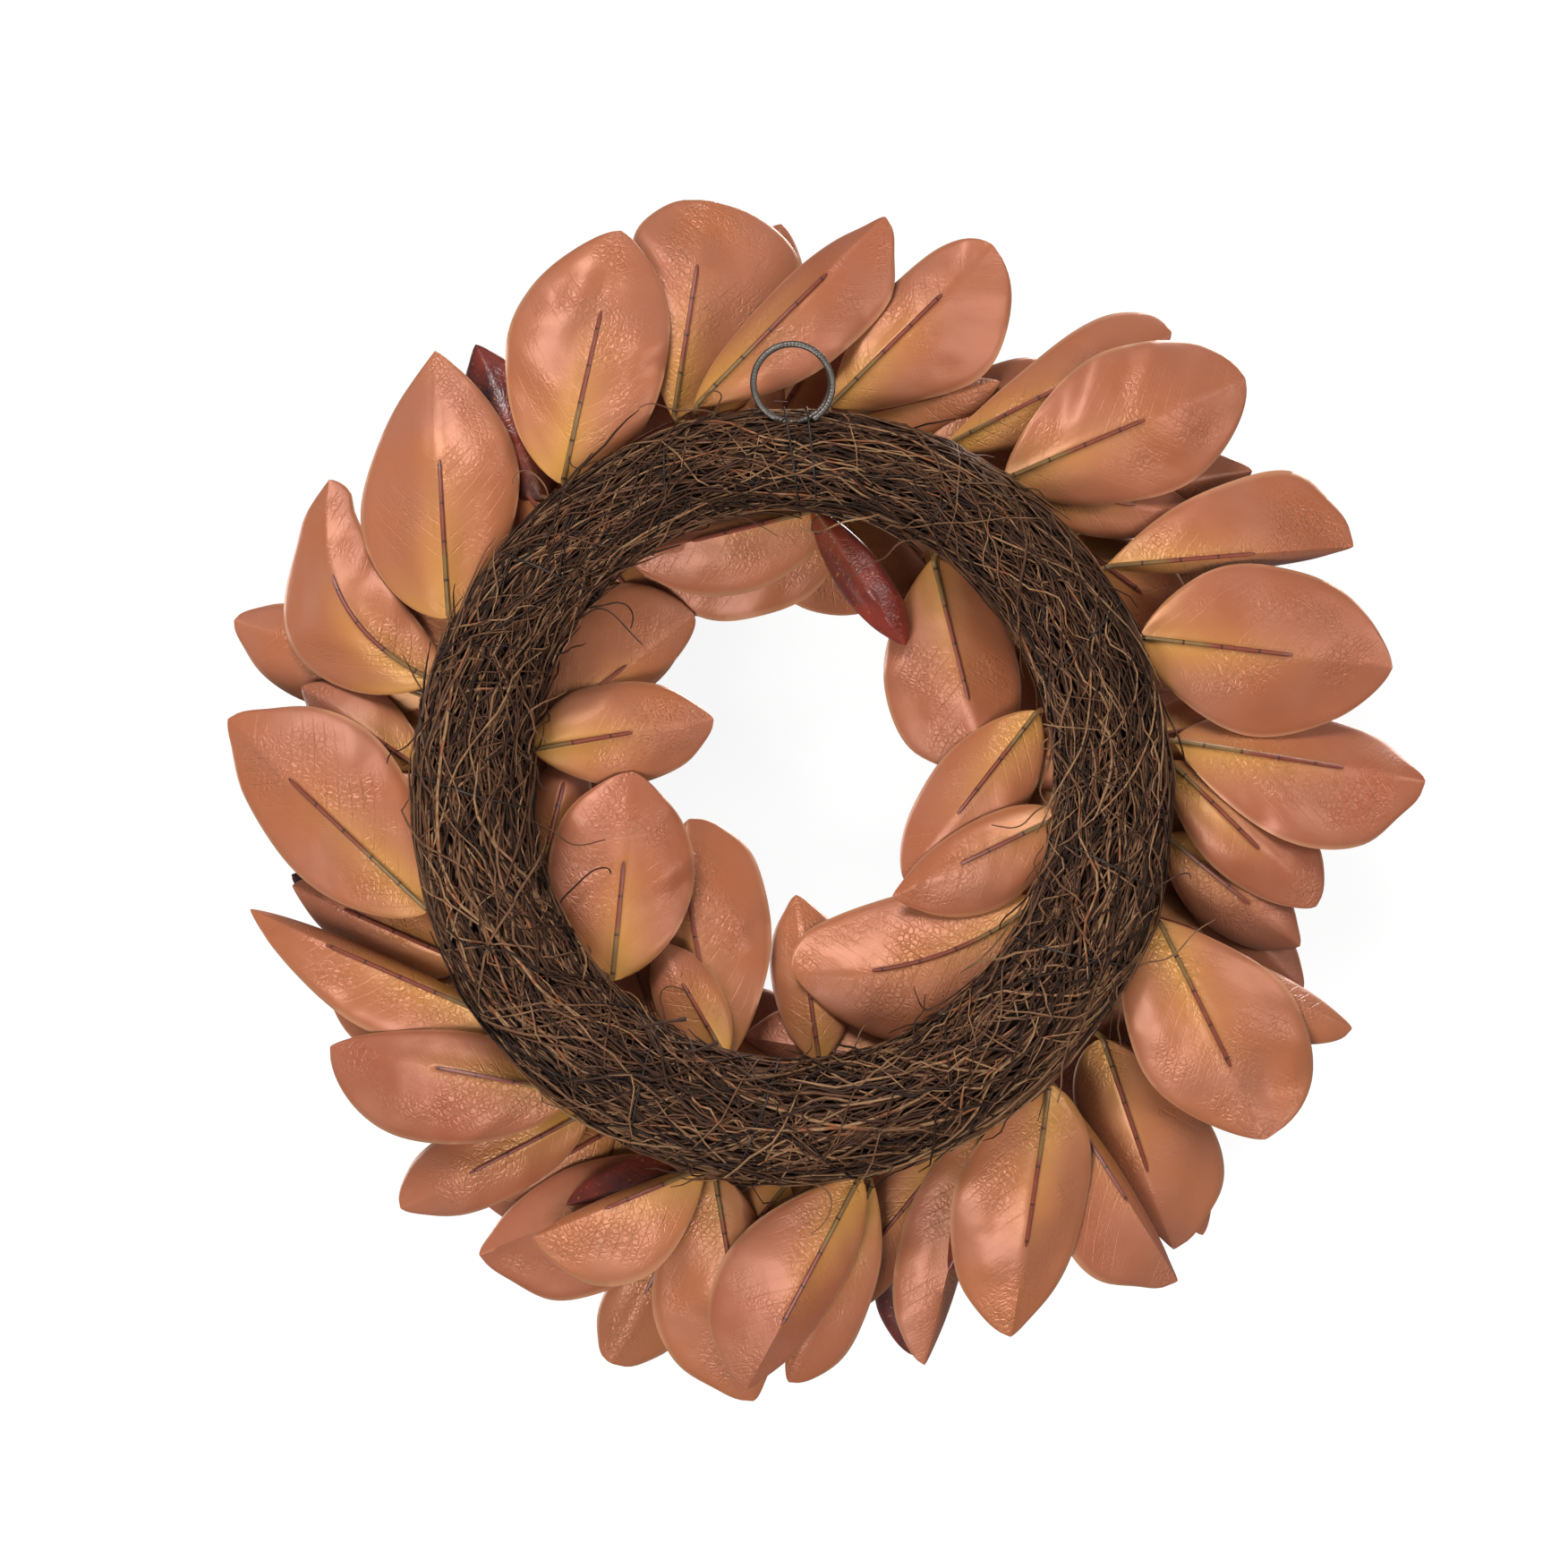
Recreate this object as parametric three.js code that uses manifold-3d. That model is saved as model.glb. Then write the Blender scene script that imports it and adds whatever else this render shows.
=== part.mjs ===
// A magnolia wreath, hanging: moulded leaves in sprays on a ring of bound twigs, with a
// metal ring at the top to hang it by. Millimetres, +Z up. The front faces -Y and the back,
// with the twigs bare, faces +Y. The origin is at the top of the inside of the hanging ring.
//
// Every piece is laid out as seen from behind, in three numbers: right, up and near, from the
// centre of the twig ring, where near is towards somebody who looks at the wreath's back.

import * as THREE from "three";
import Module from "manifold-3d";

const wasm = await Module();
wasm.setup();

// Hanging ring and the places of the origin
const hangRadius = 21; // middle of the wire
const hangWire = 1.8; // radius of the wire
const hangUp = 225; // centre of the hanging ring above the centre of the twig ring
const hangNear = 17; // plane of the hanging ring, behind the middle of the twigs
const hangSteps = 26;
const hangStart = 70; // degrees clockwise from the top where the wire starts
const hangSweep = 440; // degrees that it runs, so that its ends lie side by side for 80
const hangWiden = 1.9; // how far the last end stands out from the first
const hangStepNear = 3.2; // and how much nearer it lies
const originUp = hangUp + hangRadius - hangWire;

// Twig ring: radii of its middle line and of its bundle, which is thinner at the top
const ringRadius = (angle) => 177 + 5 * Math.cos(angle) + 3 * Math.cos(2 * angle);
const bundleRadius = (angle) => 27.6 - 3.5 * Math.cos(angle) - Math.cos(2 * angle);
const ridgeHeight = 1.5;
const ridgeWave = 0.7;
const ringStations = 46;
const ridges = 9;
const ridgeSwells = 5; // waves in the height of a ridge, once round the ring
const bundleTwists = 2; // turns of the bundle on its way round the ring
const bundleWander = 0.1; // radians that a ridge strays from its straight twist
const bundleSeed = 90210;
const twigSpacing = 18; // degrees of the ring for each loose twig
const twigThickness = 1.5; // radius of a loose twig, thicker than life
const twigSeed = 700;
const wireMargin = 5; // degrees between a loose twig and a binding wire
const twigSunk = 5; // how far a loose twig's ends start inside the bundle
const twigLift = 3.9; // how high the lowest ones run over the ridges
const twigLayer = 2.6; // and how much higher each of the next two
const twigLayers = 3;

// Binding wire
const wireRadius = 0.8;
const wireStations = 16;
const wireHeight = 3.6; // over the middle of the ridges
const tieSwell = 3.6; // more than that where a tie passes over the hanging ring
const tieTurn = 42; // degrees from the outer edge to where the ring is lashed
const tieFocus = 6; // how narrow the swell is
const channelGap = 0.35; // between a wire or a stem and the twigs that it passes through

// Leaves
const sweepDepth = 20; // how far all leaves sweep forwards at sweepReach from the twigs' middle
const sweepReach = 150;
const leafThickness = 1.4;
const fallPower = 1.6; // how late an edge falls away from the midrib
const droopPower = 1.5; // how late a tip droops
const stackGap = 2.3; // between one leaf and the next behind it, middle to middle
const stemRadius = 1.2;
const holeRadius = 2.1; // to the corners of the square hole that a root runs into
const leafStations = [0.12, 0.36, 0.62, 0.86, 0.998];
const hiddenStations = [0.15, 0.45, 0.78, 0.998];
const coarseStations = [0.2, 0.58, 0.998]; // for the leaves that others cover most
const hiddenTier = 2;
const rootDepth = 10; // how far the stem of a spray runs into the twigs
const rootHeight = 3.4; // where the stems of a spray meet, above the middle of the bundle's ridges
const keepOff = 2.8; // from the twigs to any blade, which leaves room for the binding wire

function random(seed) {
  let state = seed;
  return () => {
    state = (state * 1664525 + 1013904223) % 4294967296;
    return state / 4294967296;
  };
}

const degrees = (angle) => (angle * Math.PI) / 180;

// A point of the twig bundle: angle clockwise from the top, turn from the outer edge
// towards the near side, and distance from the middle line of the bundle
function bundlePoint(angle, turn, distance) {
  const radius = ringRadius(angle) + distance * Math.cos(turn);
  return [radius * Math.sin(angle), radius * Math.cos(angle), distance * Math.sin(turn)];
}

function toPart([right, up, near]) {
  return [-right, near - hangNear, up - originUp];
}

function solidFrom(points, triangles) {
  const vertProperties = new Float32Array(points.flatMap(toPart));
  const triVerts = new Uint32Array(triangles.flat());
  return new wasm.Manifold(new wasm.Mesh({ numProp: 3, vertProperties, triVerts }));
}

// The largest shell of a body, without loose scraps and with sealed hollows filled
function outerShell(body) {
  return body.decompose().sort((a, b) => b.volume() - a.volume())[0];
}

// A closed skin over sections of equal point counts. The last section may meet the first.
function loft(sections, closed = false) {
  const size = sections[0].length;
  const count = sections.length;
  const triangles = [];
  for (let i = 0; i < (closed ? count : count - 1); i += 1) {
    const here = i * size;
    const next = ((i + 1) % count) * size;
    for (let k = 0; k < size; k += 1) {
      const side = (k + 1) % size;
      triangles.push([here + k, here + side, next + side]);
      triangles.push([here + k, next + side, next + k]);
    }
  }
  const end = (count - 1) * size;
  for (let k = 1; !closed && k < size - 1; k += 1) {
    triangles.push([0, k + 1, k]);
    triangles.push([end, end + k, end + k + 1]);
  }
  return solidFrom(sections.flat(), triangles);
}

// A round section of flat sides at a point, square to a direction, with its first corner
// towards a given side
function section(point, direction, radius, sides, towards) {
  const along = direction.clone().normalize();
  const across = towards.clone().addScaledVector(along, -towards.dot(along)).normalize();
  const third = along.clone().cross(across);
  return Array.from({ length: sides }, (_, k) => {
    const turn = (2 * Math.PI * k) / sides;
    const corner = point.clone().addScaledVector(across, radius * Math.cos(turn));
    return corner.addScaledVector(third, radius * Math.sin(turn)).toArray();
  });
}

// A tube along points. Its first corners face a side that it never runs towards: the near
// side, or the right for one that goes straight in, or the side that a closed loop faces.
function tube(points, radius, sides, closed = false) {
  const path = points.map((point) => new THREE.Vector3(...point));
  const count = path.length;
  const run = path[count - 1].clone().sub(path[0]).normalize();
  let towards = new THREE.Vector3(0, 0, 1);
  if (closed) {
    towards = path[1].clone().sub(path[0]).cross(path[2].clone().sub(path[0]));
  } else if (Math.abs(run.z) > 0.8) {
    towards = new THREE.Vector3(1, 0, 0);
  }
  const sections = path.map((point, i) => {
    const before = path[closed ? (i + count - 1) % count : Math.max(i - 1, 0)];
    const after = path[closed ? (i + 1) % count : Math.min(i + 1, count - 1)];
    return section(point, after.clone().sub(before), radius, sides, towards);
  });
  return loft(sections, closed);
}

// Half the width of a leaf at a share s of its length, on its left (side > 0) or right
function halfWidth(leaf, s, side) {
  const widest = side > 0 ? leaf.leftWidest : leaf.rightWidest;
  const width = side > 0 ? leaf.left : leaf.right;
  const fullness = s < widest ? leaf.baseFullness : leaf.tipFullness;
  const towardsBase = (s / widest) ** (fullness * widest);
  const towardsTip = ((1 - s) / (1 - widest)) ** (fullness * (1 - widest));
  return width * towardsBase * towardsTip;
}

// A point of a leaf's middle surface: s runs from base to tip, q from -1 (right) to 1 (left)
function leafPoint(leaf, s, q) {
  const run = [leaf.tip[0] - leaf.base[0], leaf.tip[1] - leaf.base[1]];
  const length = Math.hypot(...run);
  const arc = 4 * s * (1 - s);
  const width = halfWidth(leaf, s, q);
  const lateral = q * width + leaf.bend * arc;
  const share = width / (q > 0 ? leaf.left : leaf.right);
  const fall = (q > 0 ? leaf.leftFall : leaf.rightFall) * share * Math.abs(q) ** fallPower;
  const right = leaf.base[0] + run[0] * s - (run[1] / length) * lateral;
  const up = leaf.base[1] + run[1] * s + (run[0] / length) * lateral;
  const away = Math.hypot(right, up) - ringRadius(Math.atan2(right, up));
  const sweep = sweepDepth * (away / sweepReach) ** 2;
  return [right, up, leaf.near + leaf.arch * arc - leaf.droop * s ** droopPower - fall - sweep];
}

// Leaves that show from behind, as measured: base and tip [right, up], the half widths left
// and right of the midrib looking from base to tip, and where each is widest. The tier is
// the order from the nearest leaf to the farthest, and folded leaves say how far an edge
// falls back from the midrib.
const usual = {
  leftWidest: 0.5, rightWidest: 0.5, baseFullness: 1.4, tipFullness: 1.4, bend: 0,
  leftFall: 8, rightFall: 8, arch: 5, droop: 8, near: -3, tier: 1, coarse: false,
};
const leaf = (base, tip, left, right, more = {}) => ({ ...usual, base, tip, left, right, ...more });

const backSprays = {
  a: [
    leaf([-125, 171], [-94, 312], 47, 42, { tier: 0 }),
    leaf([-136, 164], [-174, 250], 25, 24, { leftWidest: 0.42, rightWidest: 0.42, tier: 2.5 }),
  ],
  b: [
    leaf([-53, 213], [51, 319], 15, 38, { rightWidest: 0.62, leftFall: 16, tier: 0.5 }),
    leaf([-65, 207], [-46, 330], 37, 60, { leftWidest: 0.72, rightWidest: 0.66, rightFall: 14 }),
    leaf([-44, 211], [-6, 318], 24, 30, { tier: 2 }),
  ],
  c: [
    leaf([20, 214], [110, 304], 24, 45, { leftWidest: 0.6, rightWidest: 0.6, tier: 0.8 }),
    leaf([27, 208], [114, 229], 10, 20, { tier: 2 }),
  ],
  d: [
    leaf([115, 174], [249, 231], 43, 41, { leftWidest: 0.58, rightWidest: 0.55, tier: 0 }),
    leaf([119, 170], [225, 156], 17, 20, { tier: 1.5 }),
    leaf([134, 163], [254, 181], 24, 24, { tier: 2 }),
  ],
  x: [
    leaf([81, 192], [209, 257], 25, 22, { leftWidest: 0.75, leftFall: 14 }),
  ],
  e: [
    leaf([171, 127], [309, 139], 45, 8, { leftWidest: 0.68, rightFall: 18, tier: 0.5 }),
    leaf([152, 143], [220, 94], 24, 22, { tier: 2 }),
  ],
  f: [
    leaf([189, 88], [329, 72], 49, 45, { tier: 0 }),
  ],
  g: [
    leaf([208, 32], [348, 10], 27, 46, { rightWidest: 0.62, leftFall: 12 }),
    leaf([206, 21], [288, -59], 29, 24, { leftWidest: 0.6, tier: 2 }),
  ],
  h: [
    leaf([205, -20], [280, -81], 22, 24, { tier: 3 }),
    leaf([205, -31], [283, -105], 20, 15, { tier: 4 }),
  ],
  i: [
    leaf([199, -65], [259, -186], 49, 44, { leftWidest: 0.64, rightWidest: 0.45, tier: 0 }),
    leaf([198, -74], [308, -126], 10, 22, { rightWidest: 0.65, tier: 2 }),
  ],
  j: [
    leaf([170, -131], [211, -249], 43, 27, { leftWidest: 0.62, rightWidest: 0.35 }),
    leaf([174, -133], [228, -242], 24, 15, { tier: 3 }),
  ],
  k: [
    leaf([140, -155], [120, -295], 31, 43, { leftWidest: 0.42, rightWidest: 0.55, tier: 0 }),
    leaf([143, -156], [213, -266], 6, 41, { rightWidest: 0.66, leftFall: 18, tier: 0.5 }),
    leaf([130, -164], [86, -258], 20, 12, { tier: 1.2 }),
  ],
  l: [
    leaf([105, -176], [73, -312], 8, 30, { rightWidest: 0.55, leftFall: 14, tier: 1.5 }),
    leaf([95, -181], [71, -310], 10, 33, { rightWidest: 0.62, tier: 2.5 }),
    leaf([96, -182], [16, -281], 22, 21, { leftWidest: 0.7, rightWidest: 0.32, tier: 2 }),
  ],
  m: [
    leaf([37, -205], [-25, -324], 20, 45, { leftWidest: 0.45, rightWidest: 0.6, tier: 0 }),
    leaf([44, -209], [-2, -321], 26, 15, { leftWidest: 0.6, tier: 1.2 }),
  ],
  n: [
    leaf([-2, -210], [-68, -292], 24, 24, { tier: 2 }),
  ],
  o: [
    leaf([-43, -202], [-21, -332], 24, 46, { rightWidest: 0.58 }),
    leaf([-46, -203], [-101, -313], 30, 20, { leftWidest: 0.68, rightWidest: 0.68, tier: 2 }),
  ],
  p: [
    leaf([-47, -200], [-142, -240], 44, 5, { leftWidest: 0.6, rightFall: 14, tier: 0.5 }),
    leaf([-54, -200], [-173, -252], 48, 24, { leftWidest: 0.56 }),
    leaf([-49, -198], [-124, -223], 5, 14, { tier: 0.8 }),
  ],
  q: [
    leaf([-116, -161], [-254, -136], 43, 22, { leftWidest: 0.58, rightWidest: 0.42, tier: 0 }),
    leaf([-111, -171], [-217, -227], 23, 26, { rightWidest: 0.6 }),
    leaf([-97, -181], [-166, -219], 20, 20, { tier: 2.5 }),
  ],
  r: [
    leaf([-161, -121], [-300, -61], 34, 7, { leftWidest: 0.38, rightFall: 16, tier: 0 }),
  ],
  s: [
    leaf([-180, -90], [-277, -48], 23, 22, { leftWidest: 0.4 }),
    leaf([-185, -85], [-278, -42], 20, 15, { tier: 2 }),
  ],
  t: [
    leaf([-198, -61], [-310, 44], 35, 48, { leftWidest: 0.45, rightWidest: 0.55, tier: 0 }),
  ],
  u: [
    leaf([-204, 17], [-270, 62], 17, 22, { tier: 2 }),
    leaf([-202, 33], [-218, 94], 15, 12, { tier: 3 }),
  ],
  v: [
    leaf([-194, 64], [-255, 176], 39, 28, { leftWidest: 0.35, rightWidest: 0.45, bend: 24, leftFall: 14 }),
    leaf([-196, 54], [-309, 99], 27, 23, { leftWidest: 0.55, rightWidest: 0.6, tier: 2 }),
  ],
  w: [
    leaf([-187, 98], [-196, 246], 45, 42, { leftWidest: 0.4, tipFullness: 1.7, tier: 0 }),
  ],
};

const innerSprays = {
  a: [
    leaf([24, 160], [-90, 132], 34, 8, { tier: 2 }),
    leaf([31, 151], [-82, 124], 39, 8, { tier: 3 }),
    leaf([11, 160], [62, 84], 14, 13, { leftWidest: 0.6, tier: 1 }),
    leaf([20, 163], [86, 75], 22, 15, { tier: 3 }),
  ],
  c: [leaf([77, 132], [107, 14], 32, 44, { rightWidest: 0.6, tier: 2 })],
  d: [leaf([134, 48], [62, -45], 29, 25)],
  e: [leaf([146, -9], [55, -53], 31, 18, { rightWidest: 0.4, tier: 0 })],
  f: [leaf([134, -56], [0, -94], 45, 38, { rightWidest: 0.55, bend: 14, tier: 0.5 })],
  g: [leaf([15, -145], [2, -53], 20, 25, { tier: 2 })],
  h: [leaf([56, -144], [-26, -131], 12, 24, { tier: 3 })],
  i: [
    leaf([-33, -141], [-57, -11], 21, 43, { rightWidest: 0.6, bend: 8 }),
    leaf([-36, -141], [-73, -78], 20, 17, { tier: 0.7 }),
  ],
  j: [leaf([-98, -99], [-87, 15], 41, 39, { leftWidest: 0.55, tier: 0 })],
  k: [
    leaf([-142, 27], [-43, 44], 30, 28, { leftWidest: 0.45, rightWidest: 0.55, tier: 0 }),
    leaf([-142, 33], [-54, 102], 44, 16, { leftWidest: 0.6, rightWidest: 0.6 }),
  ],
  l: [leaf([-136, -35], [-120, 28], 17, 17, { tier: 2 })],
};

// Leaves of the front: each spray is a rosette, with one leaf outwards, one inwards and one
// each way along the twigs
const frontSprayCount = 12;
const frontSeed = 4100;
const frontNear = -34;
const frontFall = 6;
const frontTier = 6; // the first of their tiers

function frontSpray(index) {
  const draw = random(frontSeed + 37 * index);
  const jitter = (size) => (draw() * 2 - 1) * size;
  const angle = degrees((360 / frontSprayCount) * (index + 0.7) + jitter(3));
  // Lean is counted from straight outwards, and back is how far a base lies behind the stem
  const rows = [
    { radius: 192, lean: 46 + jitter(9), length: 114 + jitter(7), width: 43, droop: 30, back: 0 },
    { radius: 163, lean: 134 + jitter(8), length: 92 + jitter(6), width: 31, droop: 20, back: 0 },
    { radius: 178, lean: 72 + jitter(8), length: 104 + jitter(6), width: 42, droop: 24, back: 0 },
    { radius: 177, lean: jitter(10) - 88, length: 74 + jitter(4), width: 31, droop: 12, back: 2.5 },
  ];
  return rows.map((row, i) => {
    const root = angle - degrees(row.back);
    const base = [row.radius * Math.sin(root), row.radius * Math.cos(root)];
    const heading = angle + degrees(row.lean);
    const tip = [base[0] + row.length * Math.sin(heading), base[1] + row.length * Math.cos(heading)];
    const place = { near: frontNear, tier: frontTier + 2 * i + (index % 2), coarse: i % 2 === 1 };
    const shape = { droop: row.droop, leftFall: frontFall, rightFall: frontFall };
    return leaf(base, tip, row.width + jitter(3), row.width + jitter(3), { ...place, ...shape });
  });
}

const sprays = new Map();
for (const [key, leaves] of Object.entries(backSprays)) {
  sprays.set(`back_spray_${key}`, { leaves, side: "outer" });
}
for (const [key, leaves] of Object.entries(innerSprays)) {
  sprays.set(`inner_spray_${key}`, { leaves, side: "inner" });
}
for (let i = 0; i < frontSprayCount; i += 1) {
  sprays.set(`front_spray_${String.fromCharCode(97 + i)}`, { leaves: frontSpray(i), side: "front" });
}

// The leaves are stacked away from the near side in the order of their tiers. A map of the
// farthest surface so far says how far each next leaf has to move back to lie clear.
const cell = 2;
const cellsAcross = 400;
const uncovered = 1000; // where nothing lies yet
const samplesAlong = 60;
const samplesAcross = 16; // on each side of the midrib
const cellIndex = (value) => Math.floor(value / cell) + cellsAcross / 2;
const farthest = new Float64Array(cellsAcross * cellsAcross).fill(uncovered);

function bundleUnderside(right, up) {
  const angle = Math.atan2(right, up);
  const offset = Math.hypot(right, up) - ringRadius(angle);
  const reach = bundleRadius(angle) + ridgeHeight + ridgeWave + keepOff;
  return Math.abs(offset) < reach ? -Math.sqrt(reach * reach - offset * offset) : uncovered;
}

for (let i = 0; i < cellsAcross; i += 1) {
  for (let j = 0; j < cellsAcross; j += 1) {
    const right = (i + 0.5 - cellsAcross / 2) * cell;
    const up = (j + 0.5 - cellsAcross / 2) * cell;
    farthest[i * cellsAcross + j] = bundleUnderside(right, up);
  }
}

function samples(oneLeaf) {
  const points = [];
  for (let i = 0; i <= samplesAlong; i += 1) {
    for (let j = -samplesAcross; j <= samplesAcross; j += 1) {
      points.push(leafPoint(oneLeaf, i / samplesAlong, j / samplesAcross));
    }
  }
  return points;
}

function stack(oneLeaf) {
  let drop = 0;
  const points = samples(oneLeaf);
  for (const [right, up, near] of points) {
    const limit = farthest[cellIndex(right) * cellsAcross + cellIndex(up)] - stackGap;
    drop = Math.max(drop, near - limit);
  }
  oneLeaf.near -= drop;
  for (const [right, up, near] of points) {
    for (let i = -1; i <= 1; i += 1) {
      for (let j = -1; j <= 1; j += 1) {
        const index = (cellIndex(right) + i) * cellsAcross + cellIndex(up) + j;
        farthest[index] = Math.min(farthest[index], near - drop);
      }
    }
  }
}

const everyLeaf = [...sprays.values()].flatMap((spray) => spray.leaves);
everyLeaf.sort((a, b) => a.tier - b.tier);
everyLeaf.forEach(stack);

// A leaf with its stem: six points a section, three on the near face and three on the far
// one with the same triangles, from the point where a spray's stems meet to the leaf's tip
function leafBody(oneLeaf, meeting, rootEnd = null) {
  const run = new THREE.Vector3(oneLeaf.tip[0] - oneLeaf.base[0], oneLeaf.tip[1] - oneLeaf.base[1], 0);
  const lateral = new THREE.Vector3(-run.y, run.x, 0);
  const foot = new THREE.Vector3(...leafPoint(oneLeaf, 0, 0));
  const start = new THREE.Vector3(...meeting);
  const stemRun = foot.clone().sub(start);
  const right = lateral.clone().negate();
  const sections = [
    section(start, stemRun, stemRadius, 6, right),
    section(foot, run.clone().normalize().add(stemRun.clone().normalize()), stemRadius, 6, right),
  ];
  const stations = oneLeaf.tier < hiddenTier ? leafStations : hiddenStations;
  for (const s of oneLeaf.coarse ? coarseStations : stations) {
    const middle = [-1, 0, 1].map((q) => leafPoint(oneLeaf, s, q));
    const face = (offset) => middle.map(([x, y, z]) => [x, y, z + offset]);
    sections.push([...face(-leafThickness / 2), ...face(leafThickness / 2).reverse()]);
  }
  if (rootEnd !== null) {
    const end = new THREE.Vector3(...rootEnd);
    sections.unshift(section(end, start.clone().sub(end), stemRadius, 6, right));
  }
  return loft(sections);
}

// The stems of a spray's leaves meet at a point on the twigs, and go in among them from there
function rootOf(spray) {
  const angle = Math.atan2(...spray.leaves[0].base);
  const turn = degrees({ outer: -22, inner: -158, front: -90 }[spray.side]);
  const reach = (height) => bundlePoint(angle, turn, bundleRadius(angle) + height);
  return { meeting: reach(rootHeight), end: reach(-rootDepth), holeEnd: reach(-rootDepth - channelGap) };
}

function sprayParts(spray) {
  const { meeting, end, holeEnd } = rootOf(spray);
  const hole = tube([meeting, holeEnd], holeRadius, 4);
  const leaves = spray.leaves.map((one, i) => leafBody(one, meeting, i === 0 ? end : null));
  return { body: outerShell(leaves.reduce((a, b) => a.add(b))), hole };
}

// The twigs: a ridged bundle, and loose twigs that leave it and come back
function twigBundle() {
  const draw = random(bundleSeed);
  const columns = ridges * 2;
  const wander = Array.from({ length: columns }, () => {
    return { phase: draw() * 2 * Math.PI, lift: draw() * 2 * Math.PI, waves: 2 + Math.floor(draw() * 4) };
  });
  const points = [];
  for (let i = 0; i < ringStations; i += 1) {
    const angle = (2 * Math.PI * i) / ringStations;
    for (let k = 0; k < columns; k += 1) {
      const { phase, lift, waves } = wander[k];
      const twist = bundleTwists * angle + bundleWander * Math.sin(waves * angle + phase);
      const ridge = (k % 2 ? -1 : 1) * ridgeHeight + ridgeWave * Math.sin(ridgeSwells * angle + lift);
      points.push(bundlePoint(angle, (2 * Math.PI * k) / columns + twist, bundleRadius(angle) + ridge));
    }
  }
  // The bundle makes whole turns on its way round, so its last station meets the first one
  const triangles = [];
  for (let i = 0; i < ringStations; i += 1) {
    const next = ((i + 1) % ringStations) * columns;
    for (let k = 0; k < columns; k += 1) {
      const a = i * columns + k;
      const b = i * columns + ((k + 1) % columns);
      const c = next + ((k + 1) % columns);
      const d = next + k;
      triangles.push([a, b, c]);
      triangles.push([a, c, d]);
    }
  }
  return solidFrom(points, triangles);
}

// A loose twig leaves the bundle, runs over it and ends in the air or goes in again
function looseTwig(start, span, index) {
  const draw = random(twigSeed + 13 * index);
  const from = degrees(30 + draw() * 120);
  const to = from + degrees((draw() * 2 - 1) * 50);
  const over = twigLift + twigLayer * (index % twigLayers);
  const goesIn = draw() < 0.5;
  const humps = [over, over + draw() * 2, over, over + draw() * 2];
  const heights = [-twigSunk, ...humps, goesIn ? -twigSunk : over + 5 + draw() * 6];
  const shares = [0, 0.14, 0.4, 0.62, 0.86, 1];
  const points = shares.map((share, i) => {
    const angle = start + span * share;
    const turn = Math.min(degrees(160), Math.max(degrees(20), from + (to - from) * share));
    return bundlePoint(angle, turn, bundleRadius(angle) + heights[i]);
  });
  return tube(points, twigThickness, 3);
}

// A closed loop of wire round the bundle, leaning along the ring
function wireLoop(angle, lean, swell) {
  const points = [];
  for (let i = 0; i < wireStations; i += 1) {
    const turn = (2 * Math.PI * i) / wireStations;
    const here = degrees(angle) + degrees(lean) * Math.cos(turn);
    const height = wireHeight + swell * Math.max(0, Math.cos(turn - degrees(tieTurn))) ** tieFocus;
    points.push(bundlePoint(here, turn, bundleRadius(here) + height));
  }
  return tube(points, wireRadius, 3, true);
}

const wires = new Map();
const wireAngles = [28, 62, 101.5, 119, 186, 208, 271, 313, 338];
wireAngles.forEach((angle, i) => wires.set(`binding_wire_${i + 1}`, [angle, i % 2 ? -3 : 3, 0]));
wires.set("ring_tie_1", [0, -1.3, tieSwell]);
wires.set("ring_tie_2", [3.4, -1.4, tieSwell]);

// The hanging ring: round wire whose ends run side by side
function hangingRing(extra = 0) {
  const points = [];
  for (let i = 0; i <= hangSteps; i += 1) {
    const share = i / hangSteps;
    const turn = degrees(hangStart + hangSweep * share);
    const radius = hangRadius + hangWiden * Math.max(0, (share - 0.8) / 0.2);
    const near = hangNear + hangStepNear * Math.max(0, (share - 0.75) / 0.25);
    points.push([radius * Math.sin(turn), hangUp + radius * Math.cos(turn), near]);
  }
  return tube(points, hangWire + extra, 5);
}

// The finished pieces
const colours = {
  leaf: { color: 0xb0694a, roughness: 0.5, metalness: 0 },
  twig: { color: 0x4a3526, roughness: 0.85, metalness: 0 },
  wire: { color: 0x3a3430, roughness: 0.5, metalness: 0.8 },
  ring: { color: 0x66625e, roughness: 0.45, metalness: 1 },
};

const group = new THREE.Group();

function addPiece(name, body, finish) {
  const mesh = body.getMesh();
  const geometry = new THREE.BufferGeometry();
  geometry.setAttribute("position", new THREE.BufferAttribute(mesh.vertProperties, 3));
  geometry.setIndex(new THREE.BufferAttribute(mesh.triVerts, 1));
  const piece = new THREE.Mesh(geometry, new THREE.MeshStandardMaterial(colours[finish]));
  piece.name = name;
  group.add(piece);
}

// Loose twigs lie in the bays between the wires
let twigs = twigBundle();
const bindings = [...wires.values()].map(([angle]) => (angle + 360) % 360).sort((a, b) => a - b);
let twigNumber = 0;
bindings.forEach((binding, i) => {
  const nextBinding = bindings[(i + 1) % bindings.length] + (i + 1 === bindings.length ? 360 : 0);
  const bay = nextBinding - binding - 2 * wireMargin;
  for (let k = 0; k < Math.floor(bay / twigSpacing); k += 1) {
    const forwards = twigNumber % 2 === 0;
    const from = binding + wireMargin + (forwards ? 0 : bay);
    twigs = twigs.add(looseTwig(degrees(from), degrees(forwards ? bay : -bay), twigNumber));
    twigNumber += 1;
  }
});
twigs = twigs.subtract(hangingRing(channelGap));
for (const [name, spray] of sprays) {
  const { body, hole } = sprayParts(spray);
  addPiece(name, body, "leaf");
  twigs = twigs.subtract(hole);
}
addPiece("twig_ring", outerShell(twigs), "twig");
addPiece("hanging_ring", hangingRing(), "ring");
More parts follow.
